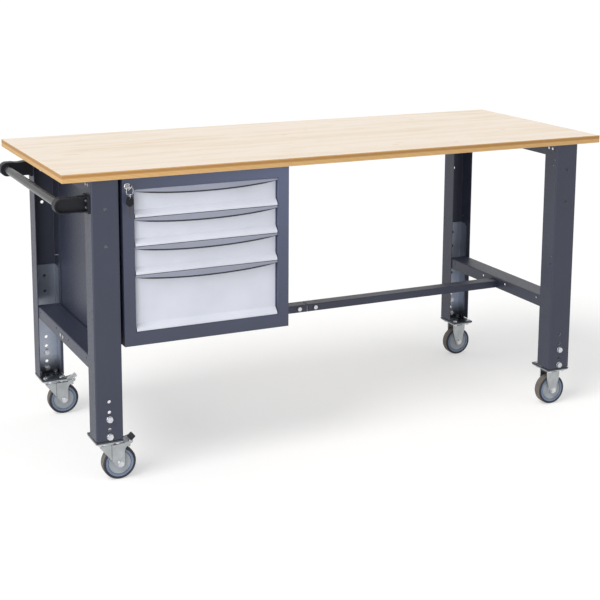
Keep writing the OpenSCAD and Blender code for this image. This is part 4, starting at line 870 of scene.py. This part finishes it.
def farthest(mid, run, loop):
    """Where a ray from mid last crosses a closed outline."""
    tiny, slack = 1e-9, 1e-6
    best = 0.0
    for p, q in zip(loop, loop[1:] + loop[:1]):
        p, q = Vector(p) - mid, Vector(q) - mid
        e = q - p
        det = run.x * -e.y + run.y * e.x
        if abs(det) < tiny:
            continue
        t = (p.x * -e.y + p.y * e.x) / det
        w = (run.x * p.y - run.y * p.x) / det
        if -slack <= w <= 1 + slack:
            best = max(best, t)
    return mid + run * best


def key_head(low, high):
    """The second key's moulded head, between low and high in Y, with its ring hole."""
    outer, mid = rounded(KEY_HEAD, 1.6, 3)[:-1], Vector((0, KEY_HOLE_Z))
    angles = sorted({round(math.atan2(b - mid.y, a), 5) for a, b in outer}
                    | {round(math.radians(k) - math.pi, 5) for k in range(0, 360, 15)})
    rows = []
    for angle in angles + angles[:1]:
        run = Vector((math.cos(angle), math.sin(angle)))
        rim, hole = farthest(mid, run, outer), mid + run * KEY_HOLE_R
        rows.append([(LOCK_X + p.x, y, LOCK_Z + p.y)
                     for p, y in ((rim, low), (rim, high), (hole, high), (hole, low))])
    Shape().grid(rows, closed=True).place("spare_key_head", "keyring", "key_plastic", KEY,
                                          "spare_key", bevel=0.5, smooth=35)


def lock():
    """Lock housing, and the loop, link and second key that hang from it."""
    Shape().turned(HOUSING, (LOCK_X, LOCK_Y, LOCK_Z), "y", steps=48).place(
        "lock_housing", "frame", "lock_chrome", CHROME, "lock_barrel", smooth=40)
    half, loop_r, loop_z, link_r, link_z = 4.5, 5.0, -9.5, 6, -23.2
    loop = []
    for sx, sz, start in ((1, 1, 90), (1, -1, 0), (-1, -1, -90), (-1, 1, 180)):
        loop += arc((half * sx, loop_z + half * sz), loop_r, start, start - 90, 6)
    wire(loop, "key_loop", lambda a, b: (LOCK_X + a, HANG_Y, LOCK_Z + b))
    link = [(link_r * cosd(a), link_z + link_r * sind(a)) for a in range(0, 360, 12)]
    wire(link, "key_link", lambda a, b: (LOCK_X, HANG_Y + a, LOCK_Z + b))
    key_head(HANG_Y - 2, HANG_Y + 2)
    blade_t = 1.9
    Shape().prism([(LOCK_X + a, LOCK_Z + b) for a, b in KEY_BLADE], HANG_Y - blade_t / 2,
                  HANG_Y + blade_t / 2).place("spare_key_blade", "keyring", "lock_chrome", STEEL,
                                              "spare_key", bevel=0.2)


lock()

# The rest keeps its CAD form
LEGS = ["front_left_leg", "rear_left_leg", "front_right_leg", "rear_right_leg"]
RAILS = ["left_top_rail", "right_top_rail", "left_cross_rail", "right_cross_rail",
         "left_side_panel", "stretcher_left", "stretcher_right"]
RUNNERS = ["cabinet_runners"] + [f"drawer_{n}_runners" for n in (1, 2, 3, 4)]
dress(LEGS, FRAME, 0.35)
dress(RAILS, FRAME)
dress(["cabinet_shell"], CABINET)
dress(["cabinet_front_frame"], CABINET, 0.7, 3)
dress([f"{c}_foot" for c in CASTERS] + ["stretcher_splice"], GALVANISED)
dress(["frame_fasteners"], ZINC, 0.35)
dress(RUNNERS + ["locking_bar"], RUNNER, 0.2)
dress(["handle_bar"], BAR, 0.5)
dress(["handle_bracket_front", "handle_bracket_rear"], BLACK, 1.0, 3)
dress(["lock_core", "key"], CHROME)
# The trays' thin sheet keeps its own shading
for number in (1, 2, 3, 4):
    nodes[f"drawer_{number}_tray"].material_slots[0].material = TRAY


# Studio
def seen_by(tree, *rays):
    """The greatest of some of Light Path's outputs."""
    path = tree.nodes.new("ShaderNodeLightPath")
    seen = path.outputs[rays[0]]
    for ray in rays[1:]:
        most = tree.nodes.new("ShaderNodeMath")
        most.operation = "MAXIMUM"
        tree.links.new(seen, most.inputs[0])
        tree.links.new(path.outputs[ray], most.inputs[1])
        seen = most.outputs[0]
    return seen


def mix_into(tree, output, share, a, b):
    """Mixes two shaders into a new output node."""
    mixed = tree.nodes.new("ShaderNodeMixShader")
    tree.links.new(share, mixed.inputs[0])
    tree.links.new(a.outputs[0], mixed.inputs[1])
    tree.links.new(b.outputs[0], mixed.inputs[2])
    tree.links.new(mixed.outputs[0], tree.nodes.new(output).inputs[0])


def grey_shader(tree, kind, grey, strength=None):
    """A shader of one grey, and of one strength where it has one."""
    shader = tree.nodes.new(kind)
    shader.inputs[0].default_value = (grey, grey, grey, 1)
    if strength is not None:
        shader.inputs[1].default_value = strength
    return shader


def lay_floor():
    """A wide pale floor; what the camera sees of it is white outside the shadow."""
    half, lit, shown, glow = 80, 0.8, 0.62, 0.43
    mesh = bpy.data.meshes.new("floor")
    mesh.from_pydata([(-half, -half, 0), (half, -half, 0), (half, half, 0), (-half, half, 0)], [],
                     [(0, 1, 2, 3)])
    floor = bpy.data.objects.new("floor", mesh)
    bpy.context.scene.collection.objects.link(floor)
    material = bpy.data.materials.new("studio_floor")
    material.use_nodes = True
    tree = material.node_tree
    tree.nodes.clear()
    total = tree.nodes.new("ShaderNodeAddShader")
    parts = (grey_shader(tree, "ShaderNodeBsdfDiffuse", shown),
             grey_shader(tree, "ShaderNodeEmission", 1, glow))
    for place, part in enumerate(parts):
        tree.links.new(part.outputs[0], total.inputs[place])
    mix_into(tree, "ShaderNodeOutputMaterial", seen_by(tree, "Is Camera Ray", "Is Glossy Ray"),
             grey_shader(tree, "ShaderNodeBsdfDiffuse", lit), total)
    mesh.materials.append(material)


def surroundings():
    """Even light all round, and plain white where it is seen or mirrored."""
    strength = 0.55
    world = bpy.data.worlds.new("studio")
    bpy.context.scene.world = world
    world.use_nodes = True
    tree = world.node_tree
    tree.nodes.clear()
    seen = seen_by(tree, "Is Camera Ray", "Is Glossy Ray", "Is Transmission Ray")
    mix_into(tree, "ShaderNodeOutputWorld", seen,
             grey_shader(tree, "ShaderNodeBackground", 1, strength),
             grey_shader(tree, "ShaderNodeBackground", 1, 1.0))


def lamp(name, kind, power, colour, aim, where=(0, 0, 0), **settings):
    """A lamp at a place, its light coming from the direction aim."""
    data = bpy.data.lights.new(name, kind)
    data.energy, data.color = power, colour
    for key, value in settings.items():
        setattr(data, key, value)
    made = bpy.data.objects.new(name, data)
    made.location = where
    made.rotation_euler = Vector(aim).to_track_quat("Z", "Y").to_euler()
    bpy.context.scene.collection.objects.link(made)


lay_floor()
surroundings()
SOFTBOX, SOFTBOX_AIM = Vector((-2.4, -2.4, 0.9)), Vector((-0.5, 0, 0.5))
lamp("key", "SUN", 1.62, (1, 0.985, 0.96), (-0.8, -0.34, 1.05), angle=math.radians(28))
lamp("fill", "SUN", 0.12, (0.96, 0.98, 1), (0.5, -0.8, 0.35), angle=math.radians(60))
lamp("left_softbox", "AREA", 30, (0.97, 0.985, 1), SOFTBOX - SOFTBOX_AIM, SOFTBOX,
     shape="SQUARE", size=1.3)

# Camera
YAW, PITCH, ROLL = 25.485, 10.57, 0.295
EYE = (-954.04, -3501.06, 1571.87)
SENSOR_MM, FOCAL_PX, IMAGE_PX, SHIFT = 36.0, 1342.93, 600, -0.2


def camera():
    """The photograph's viewing angle, with a part of its shift."""
    data = bpy.data.cameras.new("camera")
    data.sensor_width, data.lens = SENSOR_MM, FOCAL_PX / IMAGE_PX * SENSOR_MM
    data.shift_y = SHIFT
    data.clip_start, data.clip_end = 0.1, 300
    eye = bpy.data.objects.new("camera", data)
    ahead = Vector((sind(YAW) * cosd(PITCH), cosd(YAW) * cosd(PITCH), -sind(PITCH)))
    side = Vector((cosd(YAW), -sind(YAW), 0))
    up = side.cross(ahead)
    side, up = side * cosd(ROLL) + up * sind(ROLL), up * cosd(ROLL) - side * sind(ROLL)
    turn = Matrix((side, up, -ahead)).transposed().to_4x4()
    eye.matrix_world = Matrix.Translation(at(*EYE)) @ turn
    bpy.context.scene.collection.objects.link(eye)
    bpy.context.scene.camera = eye


camera()
bpy.context.scene.view_settings.view_transform = "Standard"
